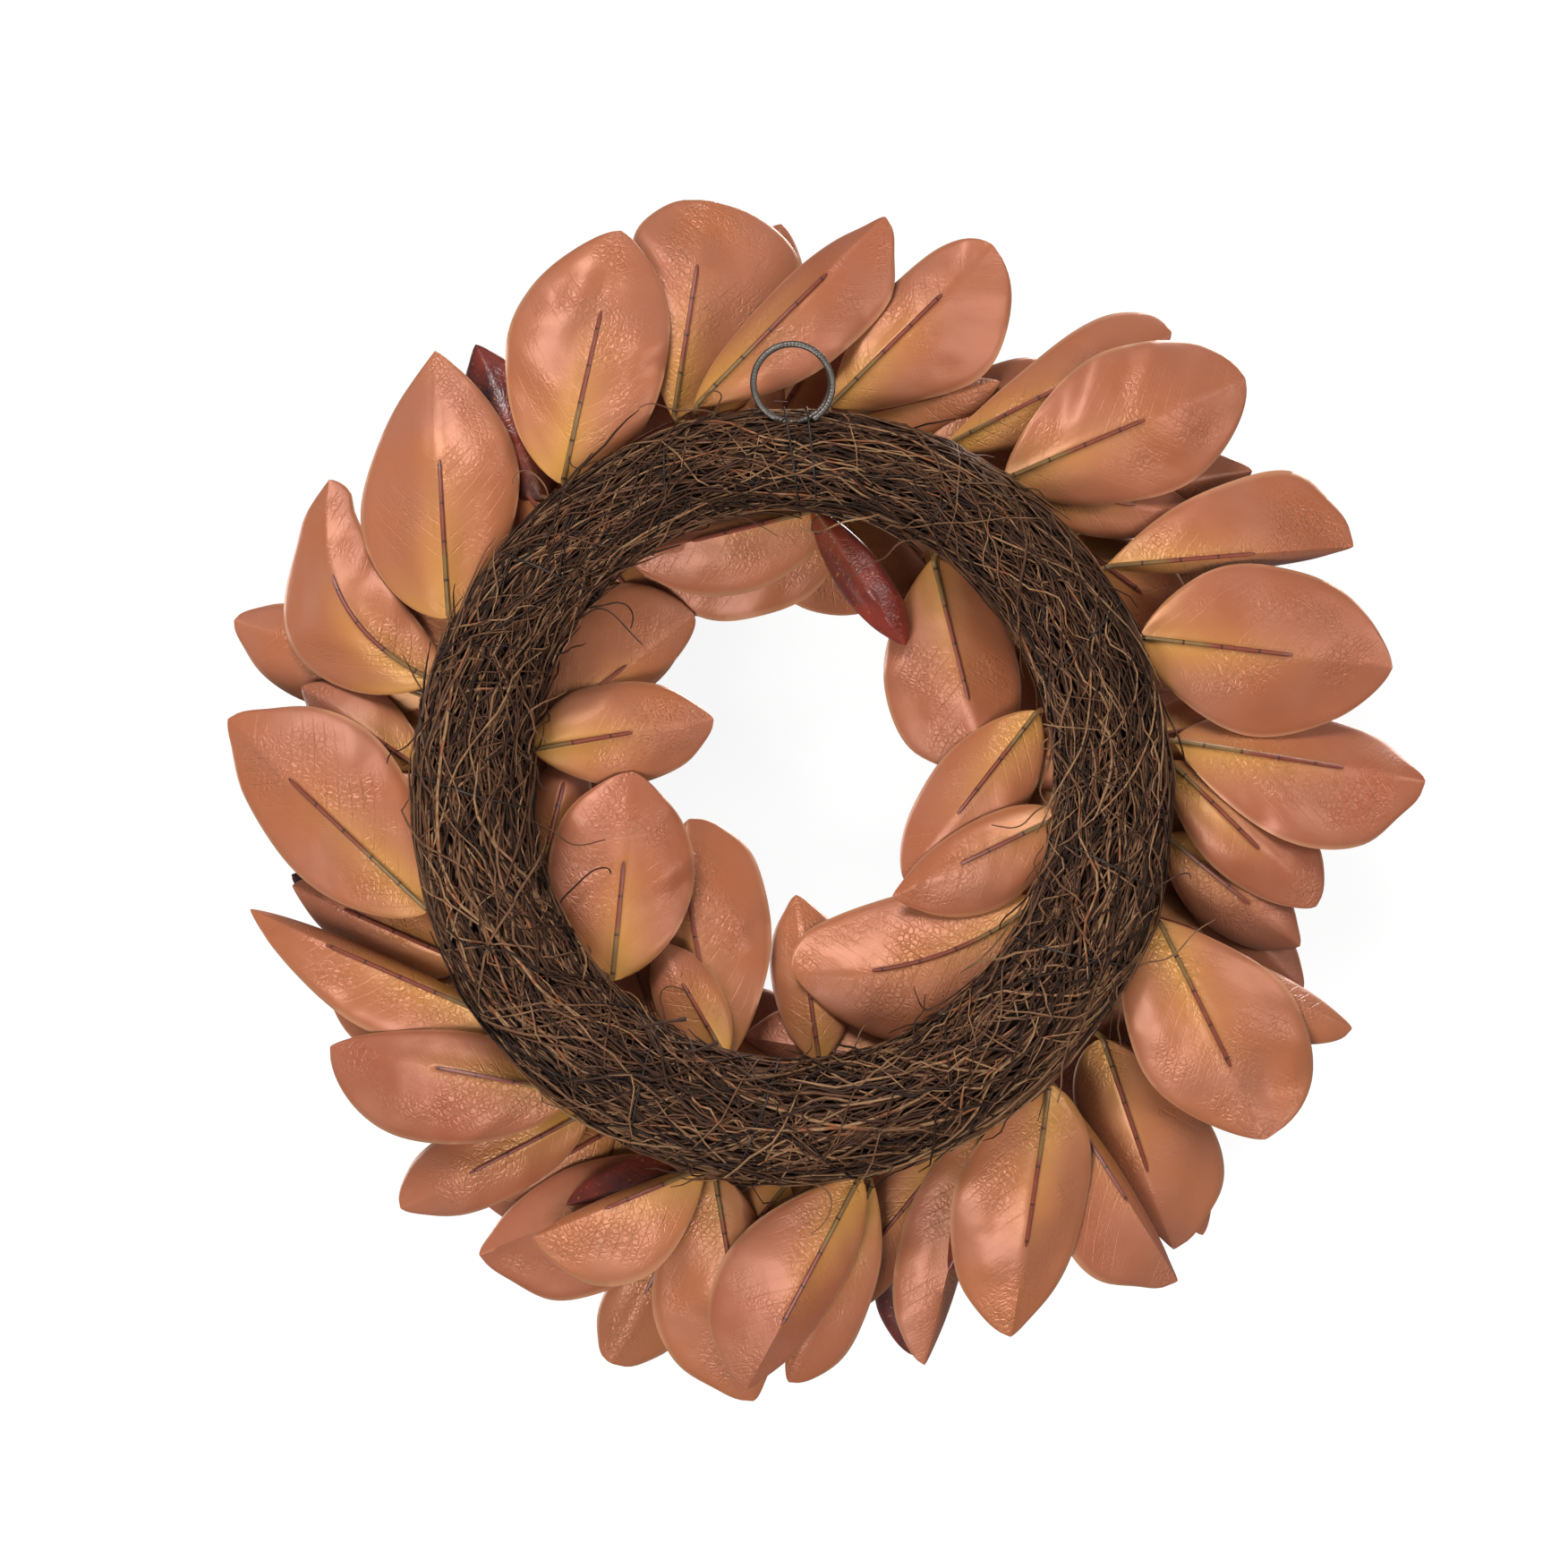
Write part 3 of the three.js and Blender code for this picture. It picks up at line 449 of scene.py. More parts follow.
# %% Leaves that show
BACK_SPRAYS = {
    "a": [leaf((-125, 171), (-94, 312), 47, 42, tier=0, roll=-0.05, dent_depth=(2.5, 6.5),
               dent_place=(0.45, 0.7), pinch=-0.12, folds=[(0.66, -38, 0.22), (0.8, 55, 0.3)],
               crease_fall=(0.3, -0.1), drip=0.05),
          leaf((-136, 164), (-174, 250), 25, 24, leftWidest=0.42, rightWidest=0.42, tier=2.5, flip=True)],
    "b": [leaf((-53, 213), (51, 319), 15, 38, rightWidest=0.62, leftFall=16, tier=0.5, drip=0.25, roll=-0.1,
               pinch=0.35, folds=[(0.5, 25, 0.25)], crease_fall=(0.3, 0.1)),
          leaf((-65, 207), (-46, 330), 37, 60, leftWidest=0.72, rightWidest=0.66, rightFall=14, roll=0.12,
               crease=(0.08, 0.6), crease_fall=(0.45, 0.1), folds=[(0.72, -12, 0.42)], pinch=0.0,
               dent_depth=(4.5, 1.0), dent_place=(0.5, 0.5)),
          leaf((-44, 211), (-6, 318), 24, 30, tier=2)],
    "c": [leaf((20, 214), (110, 304), 24, 45, leftWidest=0.6, rightWidest=0.6, tier=0.8, ripple=0.05,
               ripple_start=2.2, drip=0.0, pinch=-0.1, crease=(0.55, 0.2), crease_fall=(0.35, 0.4),
               pleat=(2.2, 2.6), folds=[(0.7, -50, 0.25)]),
          leaf((27, 208), (114, 229), 10, 20, tier=2)],
    "d": [leaf((115, 174), (249, 231), 43, 41, leftWidest=0.58, rightWidest=0.55, tier=0, drip=0.0, roll=0.02,
               crease=(0.42, 0.5), crease_fall=(0.42, 0.12), pleat=(1.6, 2.4), folds=[(0.74, -20, 0.3)],
               edge_wave=(3.6, 1.5)),
          leaf((119, 170), (225, 156), 17, 20, tier=1.5),
          leaf((134, 163), (254, 181), 24, 24, tier=2)],
    "x": [leaf((81, 192), (209, 257), 25, 22, leftWidest=0.75, leftFall=14, roll=-0.1,
               folds=[(0.5, 60, 0.45)], crease_fall=(0.2, 0.5), crease=(0.5, 0.35))],
    "e": [leaf((171, 127), (309, 139), 45, 8, leftWidest=0.68, rightFall=18, tier=0.5, drip=0.2, pinch=0.35,
               crease=(0.4, 0.35), crease_fall=(0.5, 0.3), folds=[(0.78, 30, 0.4)], pleat=(0.5, 1.8)),
          leaf((152, 143), (220, 94), 24, 22, tier=2)],
    "f": [leaf((189, 88), (329, 72), 49, 45, tier=0, drip=0.05, roll=0.04, crease=(0.5, 0.35),
               crease_fall=(0.35, 0.3), folds=[(0.68, -40, 0.32), (0.86, 30, -0.4)], pleat=(2.4, 2.0))],
    "g": [leaf((208, 32), (348, 10), 27, 46, rightWidest=0.62, leftFall=12, drip=0.25, roll=-0.12, pinch=0.1,
               crease=(0.25, 0.3), crease_fall=(-0.25, 0.5), folds=[(0.74, 15, -0.3)], pleat=(2.8, 1.2)),
          leaf((206, 21), (288, -59), 29, 24, leftWidest=0.6, tier=2)],
    "h": [leaf((205, -20), (280, -81), 22, 24, tier=3),
          leaf((205, -31), (283, -105), 20, 15, tier=4)],
    "i": [leaf((199, -65), (259, -186), 49, 44, leftWidest=0.64, rightWidest=0.45, tier=0, drip=0.0,
               roll=0.03, pinch=0.42, crease=(0.6, 0.55), crease_fall=(0.25, 0.3), folds=[(0.8, 62, -0.35)],
               dent_depth=(1.0, 5.5), dent_place=(0.5, 0.78), pleat=(1.0, 2.2)),
          leaf((198, -74), (308, -126), 10, 22, rightWidest=0.65, tier=2)],
    "j": [leaf((170, -131), (211, -249), 43, 27, leftWidest=0.62, rightWidest=0.35, roll=0.05, pinch=0.2,
               folds=[(0.85, 50, 0.4)], crease=(0.2, 0.45), crease_fall=(0.45, 0.15), pleat=(0.8, 1.2)),
          leaf((174, -133), (228, -242), 24, 15, tier=3)],
    "k": [leaf((140, -155), (120, -295), 31, 43, leftWidest=0.42, rightWidest=0.55, tier=0, drip=0.1,
               roll=-0.03, pinch=0.4, crease=(0.55, 0.35), crease_fall=(0.12, 0.45),
               folds=[(0.6, 50, 0.25)], pleat=(1.2, 2.6), ripple=0.03),
          leaf((143, -156), (213, -266), 6, 41, rightWidest=0.66, leftFall=18, tier=0.5, drip=0.25, roll=-0.1,
               pinch=0.1, crease=(0.75, 0.3), crease_fall=(-0.3, 0.3), folds=[(0.8, 20, 0.4)]),
          leaf((130, -164), (86, -258), 20, 12, tier=1.2, flip=True)],
    "l": [leaf((105, -176), (73, -312), 8, 30, rightWidest=0.55, leftFall=14, tier=1.5),
          leaf((95, -181), (71, -310), 10, 33, rightWidest=0.62, tier=2.5, flip=True),
          leaf((96, -182), (16, -281), 22, 21, leftWidest=0.7, rightWidest=0.32, tier=2)],
    "m": [leaf((37, -205), (-25, -324), 20, 45, leftWidest=0.45, rightWidest=0.6, tier=0, drip=0.15,
               roll=-0.02, pinch=0.35, crease=(0.7, 0.3), crease_fall=(0.1, 0.55), folds=[(0.72, 55, 0.3)],
               pleat=(0.7, 1.6)),
          leaf((44, -209), (-2, -321), 26, 15, leftWidest=0.6, tier=1.2)],
    "n": [leaf((-2, -210), (-68, -292), 24, 24, tier=2)],
    "o": [leaf((-43, -202), (-21, -332), 24, 46, rightWidest=0.58, drip=0.2, roll=0.1, pinch=0.15,
               crease=(0.5, 0.3), crease_fall=(0.45, 0.3), folds=[(0.62, -30, 0.25)], pleat=(2.6, 2.0)),
          leaf((-46, -203), (-101, -313), 30, 20, leftWidest=0.68, rightWidest=0.68, tier=2)],
    "p": [leaf((-47, -200), (-142, -240), 44, 5, leftWidest=0.6, rightFall=14, tier=0.5),
          leaf((-54, -200), (-173, -252), 48, 24, leftWidest=0.56, drip=0.2, roll=0.06, pinch=0.5,
               crease=(0.4, 0.6), crease_fall=(0.3, 0.3), folds=[(0.7, 40, 0.25)], pleat=(2.4, 1.4)),
          leaf((-49, -198), (-124, -223), 5, 14, tier=0.8, flip=True, flush=0.3)],
    "q": [leaf((-116, -161), (-254, -136), 43, 22, leftWidest=0.58, rightWidest=0.42, tier=0, drip=0.0,
               roll=0.05, pinch=0.3, crease=(0.12, 0.5), crease_fall=(0.6, 0.35), pleat=(1.2, 2.0),
               folds=[(0.76, 10, 0.35)]),
          leaf((-111, -171), (-217, -227), 23, 26, rightWidest=0.6, drip=0.1, roll=-0.06, pleat=(2.6, 1.2),
               folds=[(0.7, -20, 0.4)]),
          leaf((-97, -181), (-166, -219), 20, 20, tier=2.5)],
    "r": [leaf((-161, -121), (-300, -61), 34, 7, leftWidest=0.38, rightFall=16, tier=0,
               drip=0.0, roll=0.12, pinch=-0.3, crease=(0.5, 0.35), crease_fall=(0.3, -0.3),
               folds=[(0.78, -20, 0.5)], pleat=(0.6, 2.2))],
    "s": [leaf((-180, -90), (-277, -48), 23, 22, leftWidest=0.4),
          leaf((-185, -85), (-278, -42), 20, 15, tier=2, flip=True, flush=-0.2)],
    "t": [leaf((-198, -61), (-310, 44), 35, 48, leftWidest=0.45, rightWidest=0.55, tier=0, drip=0.2,
               roll=-0.07, pinch=0.1, crease=(0.75, 0.12), crease_fall=(0.2, 0.5), folds=[(0.86, 20, 0.25)],
               edge_wave=(1.0, 2.6), pleat=(0.8, 1.0))],
    "u": [leaf((-204, 17), (-270, 62), 17, 22, tier=2),
          leaf((-202, 33), (-218, 94), 15, 12, tier=3)],
    "v": [leaf((-194, 64), (-255, 176), 39, 28, leftWidest=0.35, rightWidest=0.45, bend=24, leftFall=14,
               drip=-0.5, roll=0.1, crease=(0.4, 0.25), crease_fall=(-0.3, 0.5), pinch=0.2,
               folds=[(0.6, 40, 0.35)], pleat=(1.6, 2.4)),
          leaf((-196, 54), (-309, 99), 27, 23, leftWidest=0.55, rightWidest=0.6, tier=2)],
    "w": [leaf((-187, 98), (-196, 246), 45, 42, leftWidest=0.4, tipFullness=1.7, tier=0, drip=0.05,
               crease=(0.6, 0.34), crease_fall=(0.2, 0.6), roll=-0.06, pinch=-0.1,
               folds=[(0.62, -35, 0.2)], dent_depth=(3.0, 2.0), pleat=(1.6, 1.0))],
}

INNER_SPRAYS = {
    "a": [leaf((24, 160), (-90, 132), 34, 8, tier=2),
          leaf((31, 151), (-82, 124), 39, 8, tier=3),
          leaf((11, 160), (62, 84), 14, 13, leftWidest=0.6, tier=1, flip=True, flush=0.22),
          leaf((20, 163), (86, 75), 22, 15, tier=3)],
    "c": [leaf((77, 132), (107, 14), 32, 44, rightWidest=0.6, tier=2, crease=(0.6, 0.35),
               crease_fall=(0.15, 0.35), folds=[(0.75, -50, 0.3)])],
    "d": [leaf((134, 48), (62, -45), 29, 25)],
    "e": [leaf((146, -9), (55, -53), 31, 18, rightWidest=0.4, tier=0, roll=-0.04, drip=0.1,
               crease=(0.6, 0.7), crease_fall=(0.3, 0.3), folds=[(0.7, 60, 0.2)])],
    "f": [leaf((134, -56), (0, -94), 45, 38, rightWidest=0.55, bend=14, tier=0.5, drip=-0.1, roll=0.06,
               crease=(0.1, 0.6), crease_fall=(0.45, 0.15), pinch=-0.1, folds=[(0.7, 55, 0.2)],
               pleat=(0.8, 1.6))],
    "g": [leaf((15, -145), (2, -53), 20, 25, tier=2)],
    "h": [leaf((56, -144), (-26, -131), 12, 24, tier=3)],
    "i": [leaf((-33, -141), (-57, -11), 21, 43, rightWidest=0.6, bend=8, pleat=(2.8, 1.0), roll=-0.05,
               crease=(0.55, 0.5), crease_fall=(0.4, 0.2), folds=[(0.7, -35, 0.3)]),
          leaf((-36, -141), (-73, -78), 20, 17, tier=0.7)],
    "j": [leaf((-98, -99), (-87, 15), 41, 39, leftWidest=0.55, tier=0, pleat=(3.0, 1.4), roll=0.0,
               pleat_length=(40, 44), crease=(0.7, 0.6), crease_fall=(0.3, 0.2), folds=[(0.8, -30, 0.2)])],
    "k": [leaf((-142, 27), (-43, 44), 30, 28, leftWidest=0.45, rightWidest=0.55, tier=0, roll=0.04,
               pleat=(2.4, 2.2), crease=(0.5, 0.4), crease_fall=(0.3, 0.25), folds=[(0.66, 45, 0.28)]),
          leaf((-142, 33), (-54, 102), 44, 16, leftWidest=0.6, rightWidest=0.6)],
    "l": [leaf((-136, -35), (-120, 28), 17, 17, tier=2)],
}

# %% Leaves of the front
FRONT_SPRAYS = 12
FRONT_SEED = 4100
FRONT_NEAR = -34.0
FRONT_FALL = 6.0
FRONT_TIER = 6
# Radius of the base, lean and its jitter, length and its jitter, half width, droop, degrees back
FRONT_ROWS = (
    (192, 46, 9, 114, 7, 43, 30, 0),
    (163, 134, 8, 92, 6, 31, 20, 0),
    (178, 72, 8, 104, 6, 42, 24, 0),
    (177, -88, 10, 74, 4, 31, 12, 2.5),
)


def lcg(seed):
    """The same plain random draws, from 0 to 1, as the solid leaves are placed by."""
    state = seed
    while True:
        state = (state * 1664525 + 1013904223) % 4294967296
        yield state / 4294967296


def front_spray(index):
    """A rosette of four leaves that lean outwards, inwards and each way along the twigs."""
    draws = lcg(FRONT_SEED + 37 * index)

    def jitter(size):
        return (next(draws) * 2 - 1) * size

    angle = math.radians(360 / FRONT_SPRAYS * (index + 0.7) + jitter(3))
    rows = []
    for radius, lean, lean_jitter, length, length_jitter, width, droop, back in FRONT_ROWS:
        rows.append((radius, lean + jitter(lean_jitter), length + jitter(length_jitter), width, droop, back))
    leaves = []
    for i, (radius, lean, length, width, droop, back) in enumerate(rows):
        root = angle - math.radians(back)
        base = (radius * math.sin(root), radius * math.cos(root))
        heading = angle + math.radians(lean)
        tip = (base[0] + length * math.sin(heading), base[1] + length * math.cos(heading))
        left = width + jitter(3)
        right = width + jitter(3)
        leaves.append(leaf(base, tip, left, right, tier=FRONT_TIER + 2 * i + index % 2, droop=droop,
                           near=FRONT_NEAR, leftFall=FRONT_FALL, rightFall=FRONT_FALL))
    return leaves


# Small leaves that the solid model leaves out, in the gaps between the others: radius and degrees of their
# base, and the radius of their tip
GAP_LEAVES = {"a": [(176, 22, 124)], "c": [(190, 80, 262), (168, 81, 122)], "d": [(190, 108, 266)],
              "k": [(192, 319, 250), (172, 322, 120)], "l": [(180, 10, 126), (180, 355, 258)]}
GAP_TIER = 5
GAP_WIDTHS = (18, 17)
GAP_DROOP = 14
WAVE_SEED = 500


def gap_leaf(radius, degrees, tip_radius):
    """A small leaf that points straight out from the wreath's middle, or straight in."""
    out = np.array([math.sin(math.radians(degrees)), math.cos(math.radians(degrees))])
    base = tuple(radius * out)
    tip = tuple(tip_radius * out)
    return leaf(base, tip, *GAP_WIDTHS, tier=GAP_TIER, droop=GAP_DROOP, near=FRONT_NEAR)


sprays = {}
for key, leaves in BACK_SPRAYS.items():
    sprays["back_spray_" + key] = {"leaves": leaves, "turn": -22}
for key, leaves in INNER_SPRAYS.items():
    sprays["inner_spray_" + key] = {"leaves": leaves, "turn": -158}
for number in range(FRONT_SPRAYS):
    key = chr(97 + number)
    extra = [gap_leaf(*place) for place in GAP_LEAVES.get(key, [])]
    sprays["front_spray_" + key] = {"leaves": front_spray(number) + extra, "turn": -90}
every_leaf = [one for spray in sprays.values() for one in spray["leaves"]]
for number, one in enumerate(every_leaf):
    draw_waves(one, WAVE_SEED + number)
print("leaves:", len(every_leaf))

# %% [markdown]
# ## Stacking
#
# On the real wreath the leaves lie on each other. A map of the farthest surface so far says how far back each
# next leaf has to lie, from the nearest tier to the farthest. A small share of each leaf, at its most curled
# edges, may press into the next one as the soft sheets do. That keeps the wreath as deep as the solid model.

# %% Stack the leaves
CELL = 2.0
CELLS_ACROSS = 400
UNCOVERED = 1000.0
KEEP_OFF = 5.0  # from the bundle's own radius to any blade
STACK_GAP = 1.75  # middle of one leaf to the middle of the next
PRESSED_SHARE = 0.01  # of a leaf of the back
PRESSED_SHARE_FRONT = 0.05  # of a leaf of the front
SAMPLES_ALONG = 61
SAMPLES_ACROSS = 33


def cell_index(values):
    """The row or column of the map in which a place lies."""
    return np.floor(values / CELL).astype(int) + CELLS_ACROSS // 2


cell_middle = (np.arange(CELLS_ACROSS) + 0.5 - CELLS_ACROSS / 2) * CELL
cell_right, cell_up = np.meshgrid(cell_middle, cell_middle, indexing="ij")
cell_angle = np.arctan2(cell_right, cell_up)
offset = np.hypot(cell_right, cell_up) - ring_radius(cell_angle)
under = (bundle_radius(cell_angle) + KEEP_OFF) ** 2 - offset ** 2
farthest = np.where(under > 0, -np.sqrt(np.maximum(under, 0)), UNCOVERED)
sample_s, sample_q = np.meshgrid(np.linspace(0.002, 0.998, SAMPLES_ALONG), np.linspace(-1, 1, SAMPLES_ACROSS))

for one in sorted(every_leaf, key=lambda item: item["tier"]):
    points = blade_point(one, sample_s, sample_q).reshape(-1, 3)
    cells = cell_index(points[:, 0]), cell_index(points[:, 1])
    pressed = PRESSED_SHARE_FRONT if one["tier"] > HIDDEN_TIERS[1] else PRESSED_SHARE
    drop = max(0.0, float(np.quantile(points[:, 2] - (farthest[cells] - STACK_GAP), 1 - pressed)))
    one["near"] -= drop
    for i in (-1, 0, 1):
        for j in (-1, 0, 1):
            np.minimum.at(farthest, (cells[0] + i, cells[1] + j), points[:, 2] - drop)
print("farthest leaf, mm from the twigs' middle:", round(float(farthest.min()), 1))

# %% [markdown]
# ## Leaf finishes
#
# The leaves are moulded from soft foam sheet and then painted. The back has a satin copper paint that thins
# to amber where the stem lies, so the colour needs to know where it is on the leaf. Attributes in the mesh
# say that: amber, edge and tone. One more, outer, calms the mould's crackle towards the edge, where it would
# glitter. The veins are drawn along the leaf's own UV map, which is in metres, so their spacing is the real
# one. The fine crackle of the mould is about three millimetres across.

# %% Leaf materials
KNUCKLE_SPACING = 21.0  # millimetres between the rings on a rib
VEIN_WANDER = 0.008  # metres that a drawn vein strays from its line


def leaf_pattern(tree, strength):
    """Bump of the side veins, the fine net between them and the grain of the sheet, and the veins' mask."""
    metres = add_node(tree, "ShaderNodeTexCoord").outputs["Object"]
    place = add_node(tree, "ShaderNodeUVMap", uv_map="blade")
    parts = add_node(tree, "ShaderNodeSeparateXYZ", {0: place.outputs[0]})
    across = add_node(tree, "ShaderNodeMath", {0: parts.outputs["Y"]}, operation="ABSOLUTE")
    lean = add_node(tree, "ShaderNodeMath", {0: across, 1: -1000 / VEIN_BEND, 2: -VEIN_SLANT},
                    operation="MULTIPLY_ADD")
    slant = add_node(tree, "ShaderNodeMath", {0: across, 1: lean, 2: parts.outputs["X"]},
                     operation="MULTIPLY_ADD")
    wander = add_node(tree, "ShaderNodeTexNoise", {"Vector": metres, "Scale": 24.0, "Detail": 1.0})
    moved = add_node(tree, "ShaderNodeMath", {0: wander.outputs[0], 1: VEIN_WANDER, 2: slant},
                     operation="MULTIPLY_ADD")
    turns = add_node(tree, "ShaderNodeMath", {0: moved, 1: 2 * math.pi * 1000 / VEIN_SPACING},
                     operation="MULTIPLY")
    wave = add_node(tree, "ShaderNodeMath", {0: turns}, operation="COSINE")
    vein = add_node(tree, "ShaderNodeMapRange", {"Value": wave, "From Min": 0.93, "From Max": 1.0})
    cracks = add_node(tree, "ShaderNodeTexVoronoi", {"Vector": place, "Scale": 330.0},
                      feature="DISTANCE_TO_EDGE")
    ridge = add_node(tree, "ShaderNodeMapRange", {"Value": cracks, "From Min": 0.22, "From Max": 0.0})
    patches = add_node(tree, "ShaderNodeTexNoise", {"Vector": metres, "Scale": 28.0, "Detail": 1.0})
    patch = add_node(tree, "ShaderNodeMapRange", {"Value": patches, "From Min": 0.42, "From Max": 0.66,
                                                  "To Min": 0.1})
    outer = add_node(tree, "ShaderNodeAttribute", attribute_name="outer").outputs["Fac"]
    calm = add_node(tree, "ShaderNodeMapRange", {"Value": outer, "From Min": 0.5, "From Max": 0.9,
                                                 "To Min": 1.0, "To Max": 0.08})
    patch = add_node(tree, "ShaderNodeMath", {0: patch, 1: calm}, operation="MULTIPLY")
    net = add_node(tree, "ShaderNodeMath", {0: ridge, 1: patch}, operation="MULTIPLY")
    crumple = add_node(tree, "ShaderNodeTexNoise", {"Vector": metres, "Scale": 48.0, "Detail": 1.5,
                                                    "Roughness": 0.4})
    vein_height = add_node(tree, "ShaderNodeMath", {0: vein, 1: patch}, operation="MULTIPLY")
    vein_bump = add_node(tree, "ShaderNodeBump", {"Height": vein_height, "Strength": strength,
                                                  "Distance": 0.0005})
    net_bump = add_node(tree, "ShaderNodeBump", {"Height": net, "Strength": strength, "Distance": 0.0004,
                                                 "Normal": vein_bump})
    bump = add_node(tree, "ShaderNodeBump", {"Height": crumple, "Strength": 0.5, "Distance": 0.003,
                                             "Normal": net_bump})
    return bump, vein_height


# Copper satin paint on moulded foam: soft broad highlights, warmer where it is thin
leaf_back, tree, shader = new_material("copper_satin_moulded_leaf")
metres = add_node(tree, "ShaderNodeTexCoord").outputs["Object"]
tone, amber, edge = [add_node(tree, "ShaderNodeAttribute", attribute_name=name).outputs["Fac"]
                     for name in ("tone", "amber", "edge")]
tone = add_node(tree, "ShaderNodeMapRange", {"Value": tone, "From Min": -1.0})
clouds = add_node(tree, "ShaderNodeTexNoise", {"Vector": metres, "Scale": 22.0, "Detail": 3.0})
cloud = add_node(tree, "ShaderNodeMapRange", {"Value": clouds, "From Min": 0.35, "From Max": 0.7})
bump, vein = leaf_pattern(tree, 0.65)
vein = add_node(tree, "ShaderNodeMath", {0: vein, 1: 0.22}, operation="MULTIPLY")
paint = add_node(tree, "ShaderNodeMix", {0: tone, 6: "#A0593D", 7: "#B56F49"}, data_type="RGBA")
for share, tint in ((cloud, "#AA6A50"), (amber, "#CF9546"), (vein, "#D29468"), (edge, "#D6A57C")):
    paint = add_node(tree, "ShaderNodeMix", {0: share, 6: paint, 7: tint}, data_type="RGBA")
gloss = add_node(tree, "ShaderNodeMapRange", {"Value": clouds, "From Min": 0.3, "From Max": 0.7,
                                              "To Min": 0.34, "To Max": 0.45})
set_inputs(tree, shader, {"Base Color": paint, "Roughness": gloss, "Metallic": 0.12,
                          "Specular IOR Level": 0.36, "Normal": bump})

# Dark gloss paint on the front: plum with burgundy clouds and amber specks
leaf_front, tree, shader = new_material("plum_gloss_moulded_leaf")
metres = add_node(tree, "ShaderNodeTexCoord").outputs["Object"]
tone, amber, edge, flush = [add_node(tree, "ShaderNodeAttribute", attribute_name=name).outputs["Fac"]
                            for name in ("tone", "amber", "edge", "flush")]
tone = add_node(tree, "ShaderNodeMapRange", {"Value": tone, "From Min": -1.0})
clouds = add_node(tree, "ShaderNodeTexNoise", {"Vector": metres, "Scale": 34.0, "Detail": 4.0})
flush = add_node(tree, "ShaderNodeMath", {0: clouds, 1: flush}, operation="ADD")
cloud = add_node(tree, "ShaderNodeMapRange", {"Value": flush, "From Min": 0.58, "From Max": 0.95})
bright = add_node(tree, "ShaderNodeMapRange", {"Value": flush, "From Min": 0.95, "From Max": 1.3})
specks = add_node(tree, "ShaderNodeTexNoise", {"Vector": metres, "Scale": 420.0, "Detail": 1.0})
speck = add_node(tree, "ShaderNodeMapRange", {"Value": specks, "From Min": 0.68, "From Max": 0.74,
                                              "To Max": 0.5})
paint = add_node(tree, "ShaderNodeMix", {0: tone, 6: "#301517", 7: "#4E211E"}, data_type="RGBA")
for share, tint in ((cloud, "#93382A"), (bright, "#B9502C"), (speck, "#B77B35"), (amber, "#7A3B22"),
                    (edge, "#6E4030")):
    paint = add_node(tree, "ShaderNodeMix", {0: share, 6: paint, 7: tint}, data_type="RGBA")
bump, _ = leaf_pattern(tree, 0.3)
set_inputs(tree, shader, {"Base Color": paint, "Roughness": 0.3, "Normal": bump})

# Soft plastic stem: olive near the twigs, brick red further out, with a dark ring at each knuckle
stem_plastic, tree, shader = new_material("moulded_soft_plastic_stem")
metres = add_node(tree, "ShaderNodeTexCoord").outputs["Object"]
streaks = add_node(tree, "ShaderNodeTexNoise", {"Vector": metres, "Scale": 160.0, "Detail": 3.0})
along = add_node(tree, "ShaderNodeAttribute", attribute_name="along").outputs["Fac"]
along = add_node(tree, "ShaderNodeMapRange", {"Value": along, "From Min": 0.5, "From Max": 0.58})
olive = add_node(tree, "ShaderNodeMix", {0: streaks, 6: "#664A27", 7: "#8F6D3E"}, data_type="RGBA")
brick = add_node(tree, "ShaderNodeMix", {0: streaks, 6: "#6B2E20", 7: "#8B4733"}, data_type="RGBA")
paint = add_node(tree, "ShaderNodeMix", {0: along, 6: olive, 7: brick}, data_type="RGBA")
place = add_node(tree, "ShaderNodeUVMap", uv_map="blade")
parts = add_node(tree, "ShaderNodeSeparateXYZ", {0: place.outputs[0]})
turns = add_node(tree, "ShaderNodeMath", {0: parts.outputs["X"], 1: 2 * math.pi * 1000 / KNUCKLE_SPACING},
                 operation="MULTIPLY")
wave = add_node(tree, "ShaderNodeMath", {0: turns}, operation="COSINE")
knuckle = add_node(tree, "ShaderNodeMapRange", {"Value": wave, "From Min": 0.97, "From Max": 0.995})
paint = add_node(tree, "ShaderNodeMix", {0: knuckle, 6: paint, 7: "#3F2119"}, data_type="RGBA")
bump = add_node(tree, "ShaderNodeBump", {"Height": streaks, "Strength": 0.3, "Distance": 0.0004})
set_inputs(tree, shader, {"Base Color": paint, "Roughness": 0.42, "Normal": bump})
print("leaf materials:", leaf_back.name, leaf_front.name, stem_plastic.name)

# %% [markdown]
# ## Making a spray
#
# A blade is a grid over its midrib and its width, with a near and a far face that meet at a thin rim. A stem
# is a tube that starts among the twigs, runs to the base of the leaf and lies on its back as a raised rib
# with knuckles. All leaves of a spray are one mesh, because on the real wreath they are wired on together.

# %% Meshes from parts
SHARP_ANGLE = math.radians(50)


